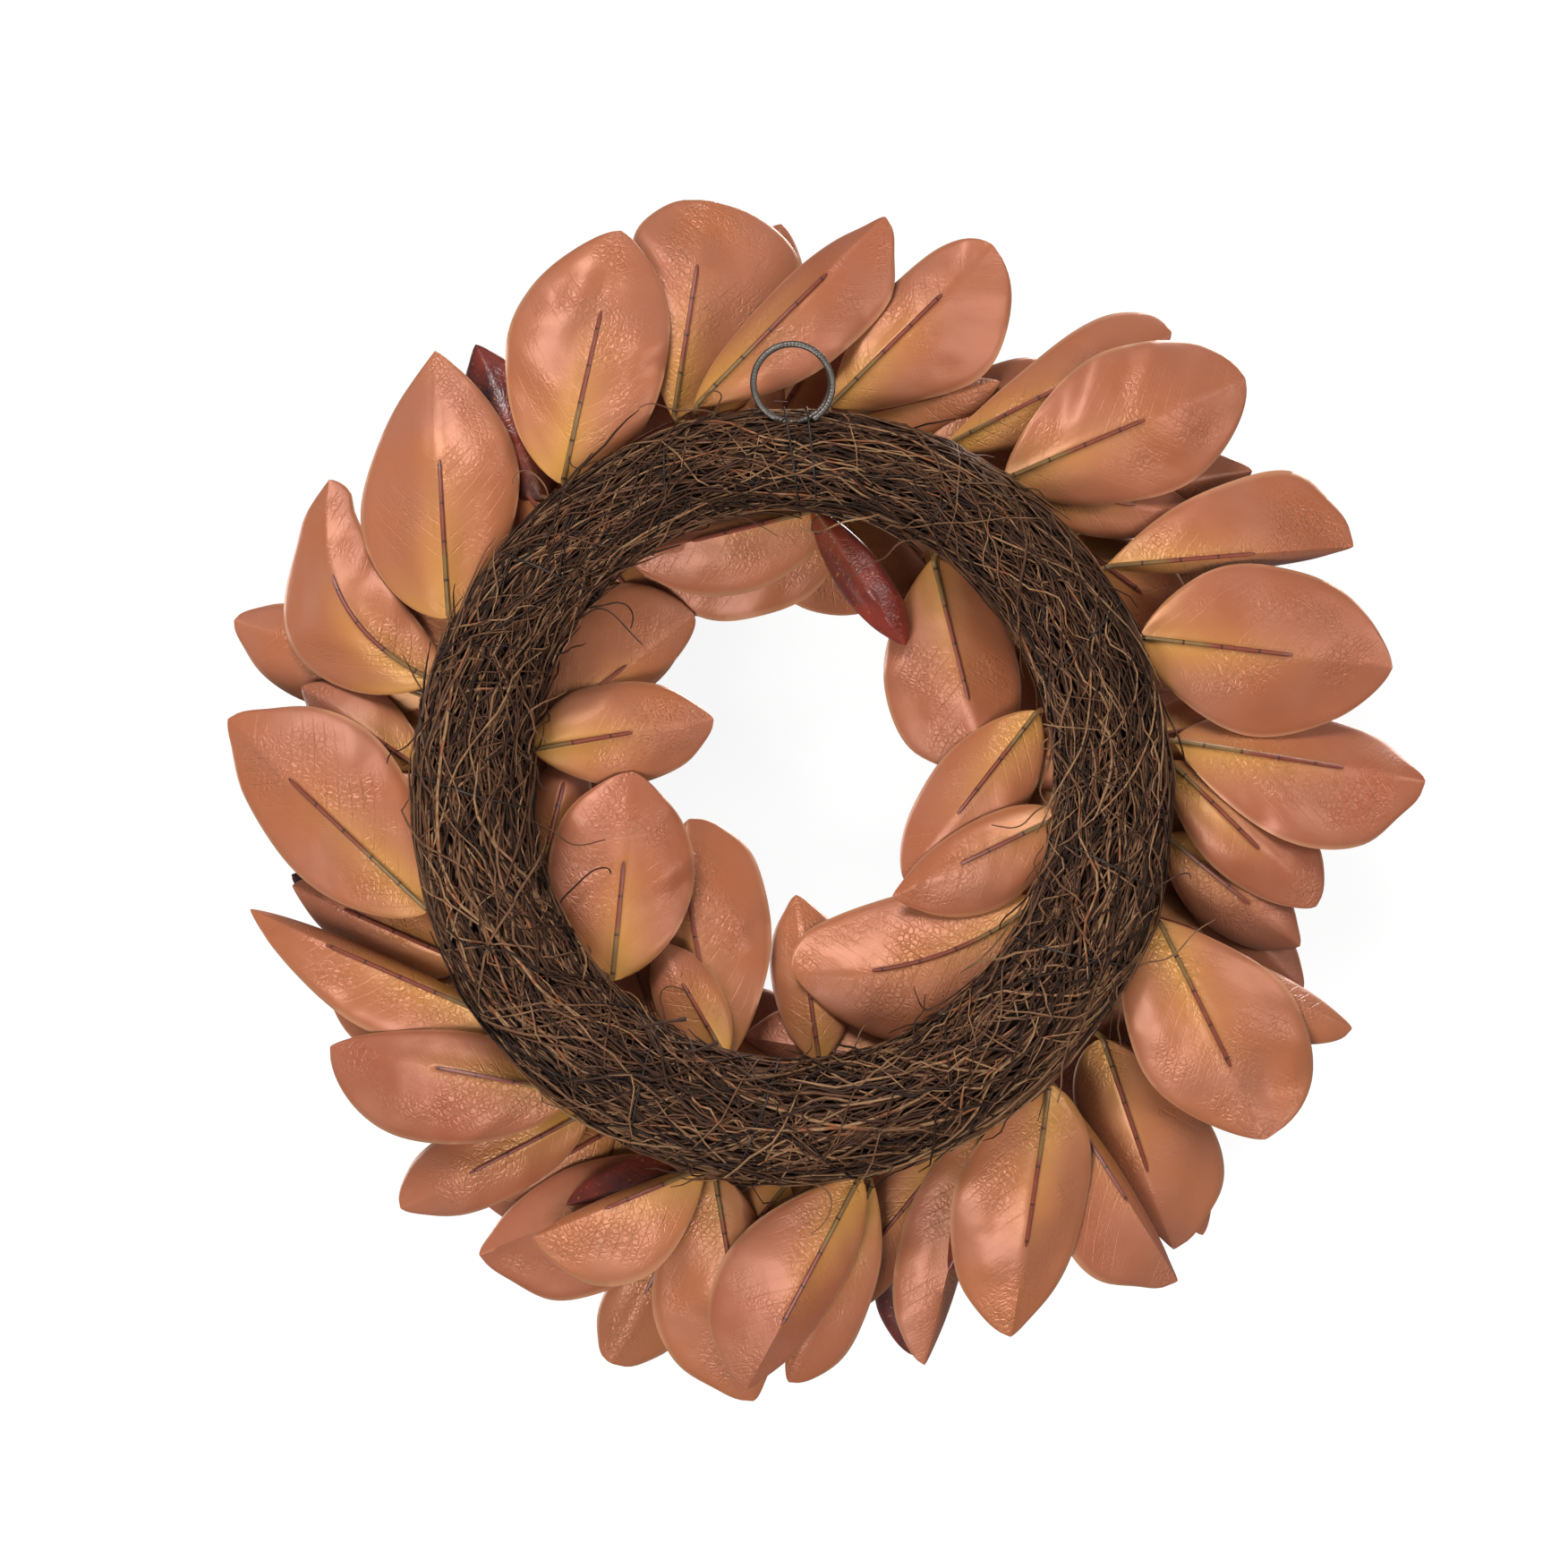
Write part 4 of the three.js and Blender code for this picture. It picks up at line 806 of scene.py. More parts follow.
class MeshParts:
    """Collects grids and tubes with their attributes, and makes one mesh of them."""

    def __init__(self):
        self.points, self.faces, self.slots, self.place = [], [], [], []
        self.shares = {name: [] for name in ("amber", "edge", "outer", "tone", "along", "flush")}
        self.count = 0

    def add(self, points, faces, slots, place=None, caps=(), **shares):
        points = np.asarray(points, float).reshape(-1, 3)
        self.points.append(points)
        self.faces += (np.asarray(faces, int) + self.count).tolist()
        self.faces += [(np.asarray(cap, int) + self.count).tolist() for cap in caps]
        slots = np.broadcast_to(slots, len(faces)).tolist()
        self.slots += slots + slots[:1] * len(caps)
        self.place.append(np.zeros((len(points), 2)) if place is None else np.asarray(place).reshape(-1, 2))
        for name, values in self.shares.items():
            values.append(np.broadcast_to(np.ravel(shares.get(name, 0.0)), len(points)))
        self.count += len(points)

    def make(self, name, materials):
        mesh = bpy.data.meshes.new(name)
        mesh.from_pydata(to_frame(np.concatenate(self.points)), [], self.faces)
        mesh.polygons.foreach_set("material_index", np.array(self.slots, np.int32))
        mesh.polygons.foreach_set("use_smooth", np.ones(len(mesh.polygons), bool))
        corner_point = np.zeros(len(mesh.loops), np.int32)
        mesh.loops.foreach_get("vertex_index", corner_point)
        place = np.concatenate(self.place)[corner_point] * MILLIMETRE
        mesh.uv_layers.new(name="blade").data.foreach_set("uv", place.astype(np.float32).ravel())
        for share, values in self.shares.items():
            data = mesh.attributes.new(share, "FLOAT", "POINT").data
            data.foreach_set("value", np.concatenate(values).astype(np.float32))
        for material in materials:
            mesh.materials.append(material)
        mesh.set_sharp_from_angle(angle=SHARP_ANGLE)
        return new_object(name, mesh)


def triangles(mesh):
    """How many triangles the faces of a mesh make."""
    return len(mesh.loops) - 2 * len(mesh.polygons)


def reach_along(path):
    """The way along a path up to each of its points."""
    return np.concatenate([[0], np.cumsum(np.linalg.norm(np.diff(path, axis=0), axis=1))])


def grid_faces(rows, columns, closed=False):
    """Quads of a grid of rows x columns points. Closed joins the last column to the first."""
    last = columns if closed else columns - 1
    row, column = np.meshgrid(np.arange(rows - 1), np.arange(last), indexing="ij")
    a = (row * columns + column).ravel()
    b = (row * columns + (column + 1) % columns).ravel()
    return np.stack([a, b, b + columns, a + columns], axis=-1)


# %% Blades
BLADE_THICKNESS = 1.0
RIM_SHARE = 0.35  # of that thickness at the very edge
ROW_LENGTH = 3.0  # millimetres of a leaf between two rows of its grid, within the limits below
ROW_LIMITS = (24, 46)
COLUMN_WIDTH = 6.5
COLUMN_LIMITS = (7, 13)  # on each side of the midrib
BLADE_START = 0.004  # share of the length where the grid starts, because the outline is a point at 0 and 1
BLADE_RUN = 0.9955
GLOW_WIDTH = (15, 8)  # millimetres of amber beside the midrib at the base, and by how much less at the tip
GLOW_END = (1.15, 0.62)  # it is full for a tenth of the length, and gone by seven tenths of it
FOOT_GLOW = (0.8, 0.14)  # how strong it is all across the base, and its share of the length
PALE_EDGE = (0.97, 0.03)  # share of the half width where the pale edge starts, and over which it grows
PALE_SHARE = 0.5


def add_blade(parts, one):
    """Both faces of a leaf. The side that faces the twigs' near side is its back unless it is flipped."""
    length = leaf_length(one)
    rows = int(np.clip(length / ROW_LENGTH, *ROW_LIMITS))
    half = int(np.clip((one["left"] + one["right"]) / COLUMN_WIDTH, *COLUMN_LIMITS))
    t = np.linspace(0, 1, rows)
    s = BLADE_START + BLADE_RUN * (0.4 * t + 0.6 * (1 - np.cos(np.pi * t)) / 2)
    side = np.linspace(-1, 1, 2 * half + 1)
    q = 0.6 * side + 0.4 * np.sin(side * np.pi / 2)
    s, q = np.meshgrid(s, q, indexing="ij")
    middle = blade_point(one, s, q)
    width = half_width(one, s, q)
    thin = RIM_SHARE + (1 - RIM_SHARE) * np.sqrt(np.clip(1 - np.abs(q) ** 10, 0, 1))
    step = np.zeros_like(middle)
    step[..., 2] = BLADE_THICKNESS / 2 * thin
    columns = 2 * half + 1
    near_faces = grid_faces(rows, columns)
    far_faces = near_faces[:, ::-1] + rows * columns
    far = rows * columns
    rim = []
    down = np.arange(rows) * columns
    level = np.arange(columns)
    for line, outwards in ((down, True), (down + columns - 1, False), (level, False),
                           (level + (rows - 1) * columns, True)):
        quads = np.stack([line[:-1], line[1:], line[1:] + far, line[:-1] + far], axis=-1)
        rim.append(quads if outwards else quads[:, ::-1])
    faces = np.concatenate([near_faces, far_faces, *rim])
    near_slot, far_slot = (1, 0) if one["flip"] else (0, 1)
    slots = np.concatenate([np.full(len(near_faces), near_slot), np.full(len(far_faces), far_slot),
                            np.full(len(faces) - len(near_faces) * 2, near_slot)])
    across = np.abs(q) * width
    glow = np.exp(-(across / (GLOW_WIDTH[0] - GLOW_WIDTH[1] * s)) ** 1.5)
    glow *= np.clip(GLOW_END[0] - s / GLOW_END[1], 0, 1)
    glow = np.maximum(glow, FOOT_GLOW[0] * hill(s, 0, FOOT_GLOW[1])) * one["glow"][np.where(q > 0, 1, 0)]
    edge = rise(np.abs(q), *PALE_EDGE) * PALE_SHARE
    place = np.stack([s * length, q * width], axis=-1)
    parts.add(np.concatenate([(middle + step).reshape(-1, 3), (middle - step).reshape(-1, 3)]), faces, slots,
              place=np.concatenate([place.reshape(-1, 2)] * 2), amber=np.tile(glow.ravel(), 2),
              edge=np.tile(edge.ravel(), 2), outer=np.tile(np.abs(q).ravel(), 2), tone=one["tone"],
              flush=one["flush"])


# %% Tubes
def smooth_path(points, count):
    """A smooth line through points, at equal shares of its length."""
    points = np.asarray(points, float)
    padded = np.concatenate([[2 * points[0] - points[1]], points, [2 * points[-1] - points[-2]]])
    line = []
    for i in range(len(points) - 1):
        p0, p1, p2, p3 = padded[i:i + 4]
        t = np.linspace(0, 1, 24, endpoint=False)[:, None]
        line.append(0.5 * (2 * p1 + (p2 - p0) * t + (2 * p0 - 5 * p1 + 4 * p2 - p3) * t ** 2
                           + (3 * p1 - p0 - 3 * p2 + p3) * t ** 3))
    line = np.concatenate([*line, points[-1:]])
    reach = reach_along(line)
    wanted = np.linspace(0, reach[-1], count)
    return np.stack([np.interp(wanted, reach, line[:, k]) for k in range(3)], axis=-1)


def add_tube(parts, path, radius, sides, slot=0, closed=False, along=0.0, **shares):
    """A round tube along a path. Its UV place runs along it and round it, both in millimetres."""
    path = np.asarray(path, float)
    count = len(path)
    radius = np.broadcast_to(radius, count)
    run = np.roll(path, -1, axis=0) - np.roll(path, 1, axis=0) if closed else np.gradient(path, axis=0)
    run = run / np.linalg.norm(run, axis=1, keepdims=True)
    across = np.zeros_like(path)
    towards = np.eye(3)[np.argmin(np.abs(run[0]))]
    for i in range(count):
        across[i] = towards - run[i] * np.dot(towards, run[i])
        across[i] /= np.linalg.norm(across[i])
        towards = across[i]
    untwist = 0.0
    if closed:
        first = across[0] - run[-1] * np.dot(across[0], run[-1])
        untwist = math.atan2(np.dot(np.cross(across[-1], first), run[-1]), np.dot(across[-1], first))
    turn = 2 * np.pi * np.arange(sides) / sides + (np.arange(count) / count * untwist)[:, None]
    third = np.cross(run, across)
    ring = np.cos(turn)[..., None] * across[:, None] + np.sin(turn)[..., None] * third[:, None]
    ring = path[:, None] + radius[:, None, None] * ring
    faces = grid_faces(count, sides, closed=True)
    caps = [range(sides - 1, -1, -1), range((count - 1) * sides, count * sides)]
    if closed:
        last = (count - 1) * sides + np.arange(sides)
        begin = np.arange(sides)
        seam = np.stack([last, np.roll(last, -1), np.roll(begin, -1), begin], axis=-1)
        faces = np.concatenate([faces, seam])
        caps = []
    reach = reach_along(path)
    place = np.stack([np.repeat(reach, sides), (turn * radius[:, None]).ravel()], axis=-1)
    parts.add(ring, faces, slot, place=place, caps=caps,
              along=np.repeat(np.broadcast_to(along, count), sides), **shares)


# %% Stems and ribs
STEM_RADIUS = 1.55
RIB_RADIUS = 1.2
ROOT_DEPTH = 10.0  # how far a stem starts below the bundle's surface
ROOT_HEIGHT = 3.4  # and how far above it the stems of a spray part
RIB_LIFT = 0.4  # from the blade's face to the middle of its rib
RIB_START = 0.02  # share of the leaf's length
RIB_ROWS = 26
RIB_TIP = 0.03  # share of the length in which a rib thins out


def add_stem(parts, one, start, meeting):
    """A stem from inside the twigs to the leaf, and its rib on the back of the leaf."""
    foot = blade_point(one, np.array([0.0]), np.array([0.0]))[0]
    back = -1 if one["flip"] else 1
    s = np.linspace(RIB_START, one["rib_end"], RIB_ROWS)
    rib = blade_point(one, s, np.zeros_like(s))
    rib[:, 2] += back * (BLADE_THICKNESS / 2 + RIB_LIFT)
    free = smooth_path([start, meeting, foot * 0.75 + meeting * 0.25, foot], 12)
    path = np.concatenate([free[:-1], rib])
    reach = reach_along(path)
    share = reach / reach[-1]
    radius = STEM_RADIUS + (RIB_RADIUS - STEM_RADIUS) * share
    radius *= np.clip((1 - share) / RIB_TIP, 0.5, 1)
    add_tube(parts, path, radius, 7, slot=2, along=share, tone=one["tone"])


# %% Sprays
def dress_spray(name, spray):
    """One mesh for the leaves and stems of a spray, in the place of its node."""
    base = spray["leaves"][0]["base"]
    angle = math.atan2(base[0], base[1])
    turn = math.radians(spray["turn"])
    start = bundle_point(angle, turn, bundle_radius(angle) - ROOT_DEPTH)
    meeting = bundle_point(angle, turn, bundle_radius(angle) + ROOT_HEIGHT)
    parts = MeshParts()
    for one in spray["leaves"]:
        add_blade(parts, one)
        add_stem(parts, one, start, meeting)
    piece = parts.make(name.replace("spray", "leaves"), [leaf_back, leaf_front, stem_plastic])
    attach(piece, "root")
    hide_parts(name)
    return triangles(piece.data)


print("triangles in the leaves:", sum(dress_spray(name, spray) for name, spray in sprays.items()))

# %% [markdown]
# ## The twigs
#
# The ring is a bundle of many thin dry twigs, each about a hand long, laid round and bound with wire.
# Geometry Nodes suit it: one tree draws each twig's place, length, slant and thickness at random, lays it
# along the middle line of the ring at some depth in the bundle, lets it wander a little and turns it into a
# thin tube.
# Four layers use the tree, from the dark inside to the strays that stand off, with nearly four thousand twigs
# in all, so every twig has few faces. The curled shoots and two broken twigs that stand out are tubes along
# paths of their own, and a core fills the middle. Its near black colour is painted shade, which shows in the
# gaps between the twigs.

# %% Twig materials
# Dry bark: matt, streaked along the twig, with a few reddish flakes among grey brown
bark, tree, shader = new_material("dry_twig_bark")
metres = add_node(tree, "ShaderNodeTexCoord").outputs["Object"]
tone = add_node(tree, "ShaderNodeAttribute", attribute_name="tone").outputs["Fac"]
blotches = add_node(tree, "ShaderNodeTexNoise", {"Vector": metres, "Scale": 110.0, "Detail": 3.0})
shift = add_node(tree, "ShaderNodeMapRange", {"Value": blotches, "From Min": 0.3, "From Max": 0.7,
                                              "To Min": -0.1, "To Max": 0.1})
ramp = add_node(tree, "ShaderNodeValToRGB",
                {"Fac": add_node(tree, "ShaderNodeMath", {0: tone, 1: shift}, operation="ADD")})
stops = ((0.0, "#20120B"), (0.3, "#3C2416"), (0.6, "#5B3A26"), (0.84, "#7C583D"), (0.96, "#9A7653"),
         (1.0, "#875233"))
for position, value in stops[1:-1]:
    ramp.color_ramp.elements.new(position)
for element, (position, value) in zip(ramp.color_ramp.elements, stops):
    element.position = position
    element.color = colour(value)
grain = add_node(tree, "ShaderNodeTexNoise", {"Vector": metres, "Scale": 900.0, "Detail": 2.0})
bump = add_node(tree, "ShaderNodeBump", {"Height": grain, "Strength": 0.5, "Distance": 0.0003})
set_inputs(tree, shader, {"Base Color": ramp, "Roughness": 0.6, "Specular IOR Level": 0.25, "Normal": bump})

# The core deep in the bundle: its near black colour is painted shade for the gaps between the twigs
painted_shade_bark, tree, shader = new_material("twig_core_painted_shade")
metres = add_node(tree, "ShaderNodeTexCoord").outputs["Object"]
grain = add_node(tree, "ShaderNodeTexNoise", {"Vector": metres, "Scale": 300.0, "Detail": 3.0})
painted_shade_colour = add_node(tree, "ShaderNodeMix", {0: grain, 6: "#0D0704", 7: "#1C0F08"}, data_type="RGBA")
set_inputs(tree, shader, {"Base Color": painted_shade_colour, "Roughness": 0.9, "Specular IOR Level": 0.1})

# %% The tree that lays twigs
TWIG_STATIONS = 13
TWIG_SIDES = 3
TWIG_BOB = 0.0012  # metres that a twig bobs up and down in its layer
SALT_STEP = 31.0  # between the seeds of a layer's draws
NUMBER_STEP = 7.31  # how far apart in the noise two twigs lie


def twig_tree():
    """Geometry Nodes: a ring line with its bundle's radius becomes twigs laid round it."""
    tree = bpy.data.node_groups.new("twigs_round_a_ring", "GeometryNodeTree")
    sockets = [("Ring", "Geometry"), ("Count", "Int"), ("Thickness", "Float"), ("Shortest", "Float"),
               ("Longest", "Float"), ("Deepest", "Float"), ("Highest", "Float"), ("First turn", "Float"),
               ("Last turn", "Float"), ("Slant", "Float"), ("Wander", "Float"), ("Lift", "Float"),
               ("Centre", "Vector"), ("Seed", "Int"), ("Material", "Material")]
    for name, kind in sockets:
        tree.interface.new_socket(name, in_out="INPUT", socket_type="NodeSocket" + kind)
    tree.interface.new_socket("Twigs", in_out="OUTPUT", socket_type="NodeSocketGeometry")
    given = add_node(tree, "NodeGroupInput").outputs
    ring = add_node(tree, "GeometryNodeMeshToCurve", {"Mesh": given["Ring"]})
    line = add_node(tree, "GeometryNodeResampleCurve",
                    {"Curve": add_node(tree, "GeometryNodeCurvePrimitiveLine"), "Count": TWIG_STATIONS})
    copies = add_node(tree, "GeometryNodeInstanceOnPoints",
                      {"Points": add_node(tree, "GeometryNodePoints", {"Count": given["Count"]}),
                       "Instance": line})
    twigs = add_node(tree, "GeometryNodeRealizeInstances", {"Geometry": copies})
    number = add_node(tree, "GeometryNodeCurveOfPoint").outputs["Curve Index"]
    along = add_node(tree, "GeometryNodeSplineParameter").outputs["Factor"]

    draws = {}
    ranges = [("start", 0.0, 1.0), ("span", given["Shortest"], given["Longest"]),
              ("depth", given["Deepest"], given["Highest"]),
              ("turn", given["First turn"], given["Last turn"]), ("slant", -1.0, 1.0), ("lift", 0.0, 1.0),
              ("thickness", 0.62, 1.2), ("tone", 0.0, 1.0)]
    for salt, (name, low, high) in enumerate(ranges):
        seed = add_node(tree, "ShaderNodeMath", {0: given["Seed"], 1: SALT_STEP * salt}, operation="ADD")
        draws[name] = add_node(tree, "FunctionNodeRandomValue",
                               {2: low, 3: high, "ID": number, "Seed": seed}).outputs[1]

    # Where the twig is on the ring
    reach = add_node(tree, "ShaderNodeMath", {0: draws["span"], 1: along, 2: draws["start"]},
                     operation="MULTIPLY_ADD")
    share = add_node(tree, "ShaderNodeMath", {0: reach}, operation="FRACT")
    bundle = add_node(tree, "GeometryNodeInputNamedAttribute", {"Name": "bundle"}, data_type="FLOAT")
    middle = add_node(tree, "GeometryNodeSampleCurve", {"Curves": ring, "Value": bundle, "Factor": share},
                      mode="FACTOR")

    # Its turn round the bundle: a slant, and a slow wander
    number_offset = add_node(tree, "ShaderNodeMath", {0: number, 1: NUMBER_STEP}, operation="MULTIPLY")
    wave_place = add_node(tree, "ShaderNodeCombineXYZ", {0: along, 1: number_offset, 2: given["Seed"]})
    waves = add_node(tree, "ShaderNodeTexNoise", {"Vector": wave_place, "Scale": 2.3, "Detail": 1.0,
                                                  "Roughness": 0.5})
    wave_parts = add_node(tree, "ShaderNodeSeparateXYZ", {0: waves.outputs["Color"]})
    swing = add_node(tree, "ShaderNodeMapRange", {"Value": wave_parts.outputs["X"], "To Min": -1.0})
    bob = add_node(tree, "ShaderNodeMapRange", {"Value": wave_parts.outputs["Y"], "To Min": -1.0})
    half = add_node(tree, "ShaderNodeMath", {0: along, 1: 0.5}, operation="SUBTRACT")
    slant = add_node(tree, "ShaderNodeMath", {0: draws["slant"]}, operation="ABSOLUTE")
    slant = add_node(tree, "ShaderNodeMath", {0: slant, 1: draws["slant"]}, operation="MULTIPLY")
    slant = add_node(tree, "ShaderNodeMath", {0: slant, 1: given["Slant"]}, operation="MULTIPLY")
    turn = add_node(tree, "ShaderNodeMath", {0: slant, 1: half, 2: draws["turn"]}, operation="MULTIPLY_ADD")
    turn = add_node(tree, "ShaderNodeMath", {0: swing, 1: given["Wander"], 2: turn}, operation="MULTIPLY_ADD")

    # Its height: its layer, a small bob, and an end that lifts off
    end = add_node(tree, "ShaderNodeMath", {0: along, 1: 3.0}, operation="POWER")
    rare = add_node(tree, "ShaderNodeMath", {0: draws["lift"], 1: 5.0}, operation="POWER")
    lift = add_node(tree, "ShaderNodeMath", {0: end, 1: rare}, operation="MULTIPLY")
    lift = add_node(tree, "ShaderNodeMath", {0: lift, 1: given["Lift"], 2: draws["depth"]},
                    operation="MULTIPLY_ADD")
    lift = add_node(tree, "ShaderNodeMath", {0: bob, 1: TWIG_BOB, 2: lift}, operation="MULTIPLY_ADD")
    distance = add_node(tree, "ShaderNodeMath", {0: middle.outputs["Value"], 1: lift}, operation="ADD")

    from_centre = add_node(tree, "ShaderNodeVectorMath", {0: middle.outputs["Position"], 1: given["Centre"]},
                           operation="SUBTRACT")
    flat = add_node(tree, "ShaderNodeVectorMath", {0: from_centre, 1: (1.0, 0.0, 1.0)}, operation="MULTIPLY")
    outward = add_node(tree, "ShaderNodeVectorMath", {0: flat}, operation="NORMALIZE")
    out_by = add_node(tree, "ShaderNodeMath", {0: distance, 1: add_node(
        tree, "ShaderNodeMath", {0: turn}, operation="COSINE")}, operation="MULTIPLY")
    near_by = add_node(tree, "ShaderNodeMath", {0: distance, 1: add_node(
        tree, "ShaderNodeMath", {0: turn}, operation="SINE")}, operation="MULTIPLY")
    out_part = add_node(tree, "ShaderNodeVectorMath", {0: outward, "Scale": out_by}, operation="SCALE")
    near_part = add_node(tree, "ShaderNodeCombineXYZ", {"Y": near_by})
    section = add_node(tree, "ShaderNodeVectorMath", {0: out_part, 1: near_part}, operation="ADD")
    place = add_node(tree, "ShaderNodeVectorMath", {0: section, 1: middle.outputs["Position"]},
                     operation="ADD")
    laid = add_node(tree, "GeometryNodeSetPosition", {"Geometry": twigs, "Position": place})

    # Its thickness, thinner at the ends
    both_ends = add_node(tree, "ShaderNodeMath", {0: half}, operation="ABSOLUTE")
    taper = add_node(tree, "ShaderNodeMapRange", {"Value": both_ends, "From Min": 0.3, "From Max": 0.5,
                                                  "To Min": 0.5, "To Max": 0.2})
    size = add_node(tree, "ShaderNodeMath", {0: draws["thickness"], 1: taper}, operation="MULTIPLY")
    size = add_node(tree, "ShaderNodeMath", {0: size, 1: given["Thickness"]}, operation="MULTIPLY")
    toned = add_node(tree, "GeometryNodeStoreNamedAttribute", {"Geometry": laid, "Name": "tone",
                                                               "Value": draws["tone"]})
    profile = add_node(tree, "GeometryNodeCurvePrimitiveCircle", {"Resolution": TWIG_SIDES, "Radius": 1.0})
    tubes = add_node(tree, "GeometryNodeCurveToMesh", {"Curve": toned, "Profile Curve": profile,
                                                       "Scale": size, "Fill Caps": True})
    smooth = add_node(tree, "GeometryNodeSetShadeSmooth", {"Geometry": tubes})
    real = add_node(tree, "GeometryNodeRealizeInstances", {"Geometry": smooth})
    finished = add_node(tree, "GeometryNodeSetMaterial", {"Geometry": real, "Material": given["Material"]})
    add_node(tree, "NodeGroupOutput", {"Twigs": finished})
    return tree


# %% Lay the twigs
RING_STATIONS = 240
ring_angle = np.arange(RING_STATIONS) * 2 * np.pi / RING_STATIONS
ring_middle = bundle_point(ring_angle, 0.0, np.zeros(RING_STATIONS))
twig_layer_tree = twig_tree()


def lay_twigs(name, material, lengths, depths, turns, **inputs):
    """A piece of twigs. The other inputs are named as in the tree."""
    mesh = bpy.data.meshes.new(name)
    edges = [(i, (i + 1) % RING_STATIONS) for i in range(RING_STATIONS)]
    mesh.from_pydata(to_frame(ring_middle), edges, [])
    bundle = mesh.attributes.new("bundle", "FLOAT", "POINT")
    bundle.data.foreach_set("value", (bundle_radius(ring_angle) * MILLIMETRE).astype(np.float32))
    piece = new_object(name, mesh)
    modifier = piece.modifiers.new("twigs", "NODES")
    modifier.node_group = twig_layer_tree
    values = {**inputs, "Shortest": lengths[0], "Longest": lengths[1], "Deepest": depths[0],
              "Highest": depths[1], "First turn": math.radians(turns[0]), "Last turn": math.radians(turns[1]),
              "Centre": to_frame([0, 0, 0]).tolist(), "Material": material}
    for item in twig_layer_tree.interface.items_tree:
        if item.in_out == "INPUT" and item.name in values:
            modifier[item.identifier] = values[item.name]
    depsgraph = bpy.context.evaluated_depsgraph_get()
    twigs = bpy.data.meshes.new_from_object(piece.evaluated_get(depsgraph))
    piece.modifiers.remove(modifier)
    piece.data = twigs
    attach(piece, "root")
    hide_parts("twig_ring")
    print(name, "triangles:", triangles(twigs))


TWIG_LAYERS = {  # metres, and turns in degrees from the bundle's outer edge towards the near side
    "twigs_inner_layer": dict(Count=1100, Thickness=0.0018, lengths=(0.09, 0.16), depths=(-0.0035, -0.0006),
                              turns=(0, 360), Slant=1.6, Wander=0.4, Lift=0.0, Seed=11),
    "twigs_outer_layer": dict(Count=1500, Thickness=0.0019, lengths=(0.07, 0.15), depths=(-0.0012, 0.0026),
                              turns=(0, 360), Slant=2.4, Wander=0.45, Lift=0.004, Seed=23),
    "twigs_top_layer": dict(Count=850, Thickness=0.0017, lengths=(0.05, 0.12), depths=(0.0012, 0.0042),
                            turns=(-25, 205), Slant=2.6, Wander=0.6, Lift=0.008, Seed=51),
    "twigs_stray": dict(Count=460, Thickness=0.0013, lengths=(0.025, 0.08), depths=(0.0015, 0.0045),
                        turns=(-30, 210), Slant=3.6, Wander=1.2, Lift=0.02, Seed=37),
}
for name, layer in TWIG_LAYERS.items():
    lay_twigs(name, bark, **layer)

# %% Loose curls
CURLS = 34
CURL_SEED = 77
CURL_THREAD = 0.6  # the radius of a shoot, which thins towards its tip
CURL_STATIONS = 34
BROKEN_TWIGS = (
    ((-92, -128, 19), (-78, -122, 21), (-57, -118.5, 22)),
    ((-66, -139, 18), (-50, -135, 20), (-40, -131, 20)),
)
BROKEN_STATIONS = 14
KNOB = (0.96, 0.05)  # share of a broken twig's length where it swells, and over which it does
WHOLE_TURN = 2 * math.pi


def curl_path(draw):
    """A thin shoot that leaves the bundle's edge and bends into a hook or a loop."""
    angle = draw.uniform(0, WHOLE_TURN)
    turn = math.radians(draw.choice([draw.uniform(-5, 50), draw.uniform(130, 185)]))
    length = draw.uniform(28, 62)
    s = np.linspace(0, 1, CURL_STATIONS)
    heading = draw.uniform(0.15, 0.5) + draw.uniform(0.2, 1.4) * s + draw.uniform(-2.0, 3.4) * s ** 3
    heading = heading + 0.35 * np.sin(draw.uniform(6, 14) * s + draw.uniform(0, 6))
    step = length / (CURL_STATIONS - 1)
    along = np.cumsum(np.cos(heading)) * step * draw.choice([-1, 1])
    height = np.cumsum(np.sin(heading)) * step
    drift = turn + draw.uniform(-0.3, 0.3) * s + 0.05 * np.sin(9 * s + draw.uniform(0, 6))
    here = angle + along / ring_radius(angle)
    return bundle_point(here, drift, bundle_radius(here) + 1.0 + height)


curl_draw = np.random.default_rng(CURL_SEED)
curl_parts = MeshParts()
thread = CURL_THREAD * np.linspace(1.1, 0.6, CURL_STATIONS)
for _ in range(CURLS):
    add_tube(curl_parts, curl_path(curl_draw), thread, 5, tone=curl_draw.uniform(0.2, 0.85))
for stub in BROKEN_TWIGS:
    thickness = 0.9 + 0.7 * hill(np.linspace(0, 1, BROKEN_STATIONS), *KNOB)
    add_tube(curl_parts, smooth_path(stub, BROKEN_STATIONS), thickness, 6, tone=0.25)
curls = curl_parts.make("loose_curls", [bark])
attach(curls, "root")
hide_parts("twig_ring")
print("loose curls:", CURLS)

# %% The dark core
CORE_DEPTH = 3.0  # below the surface of the bundle
CORE_SIDES = 28

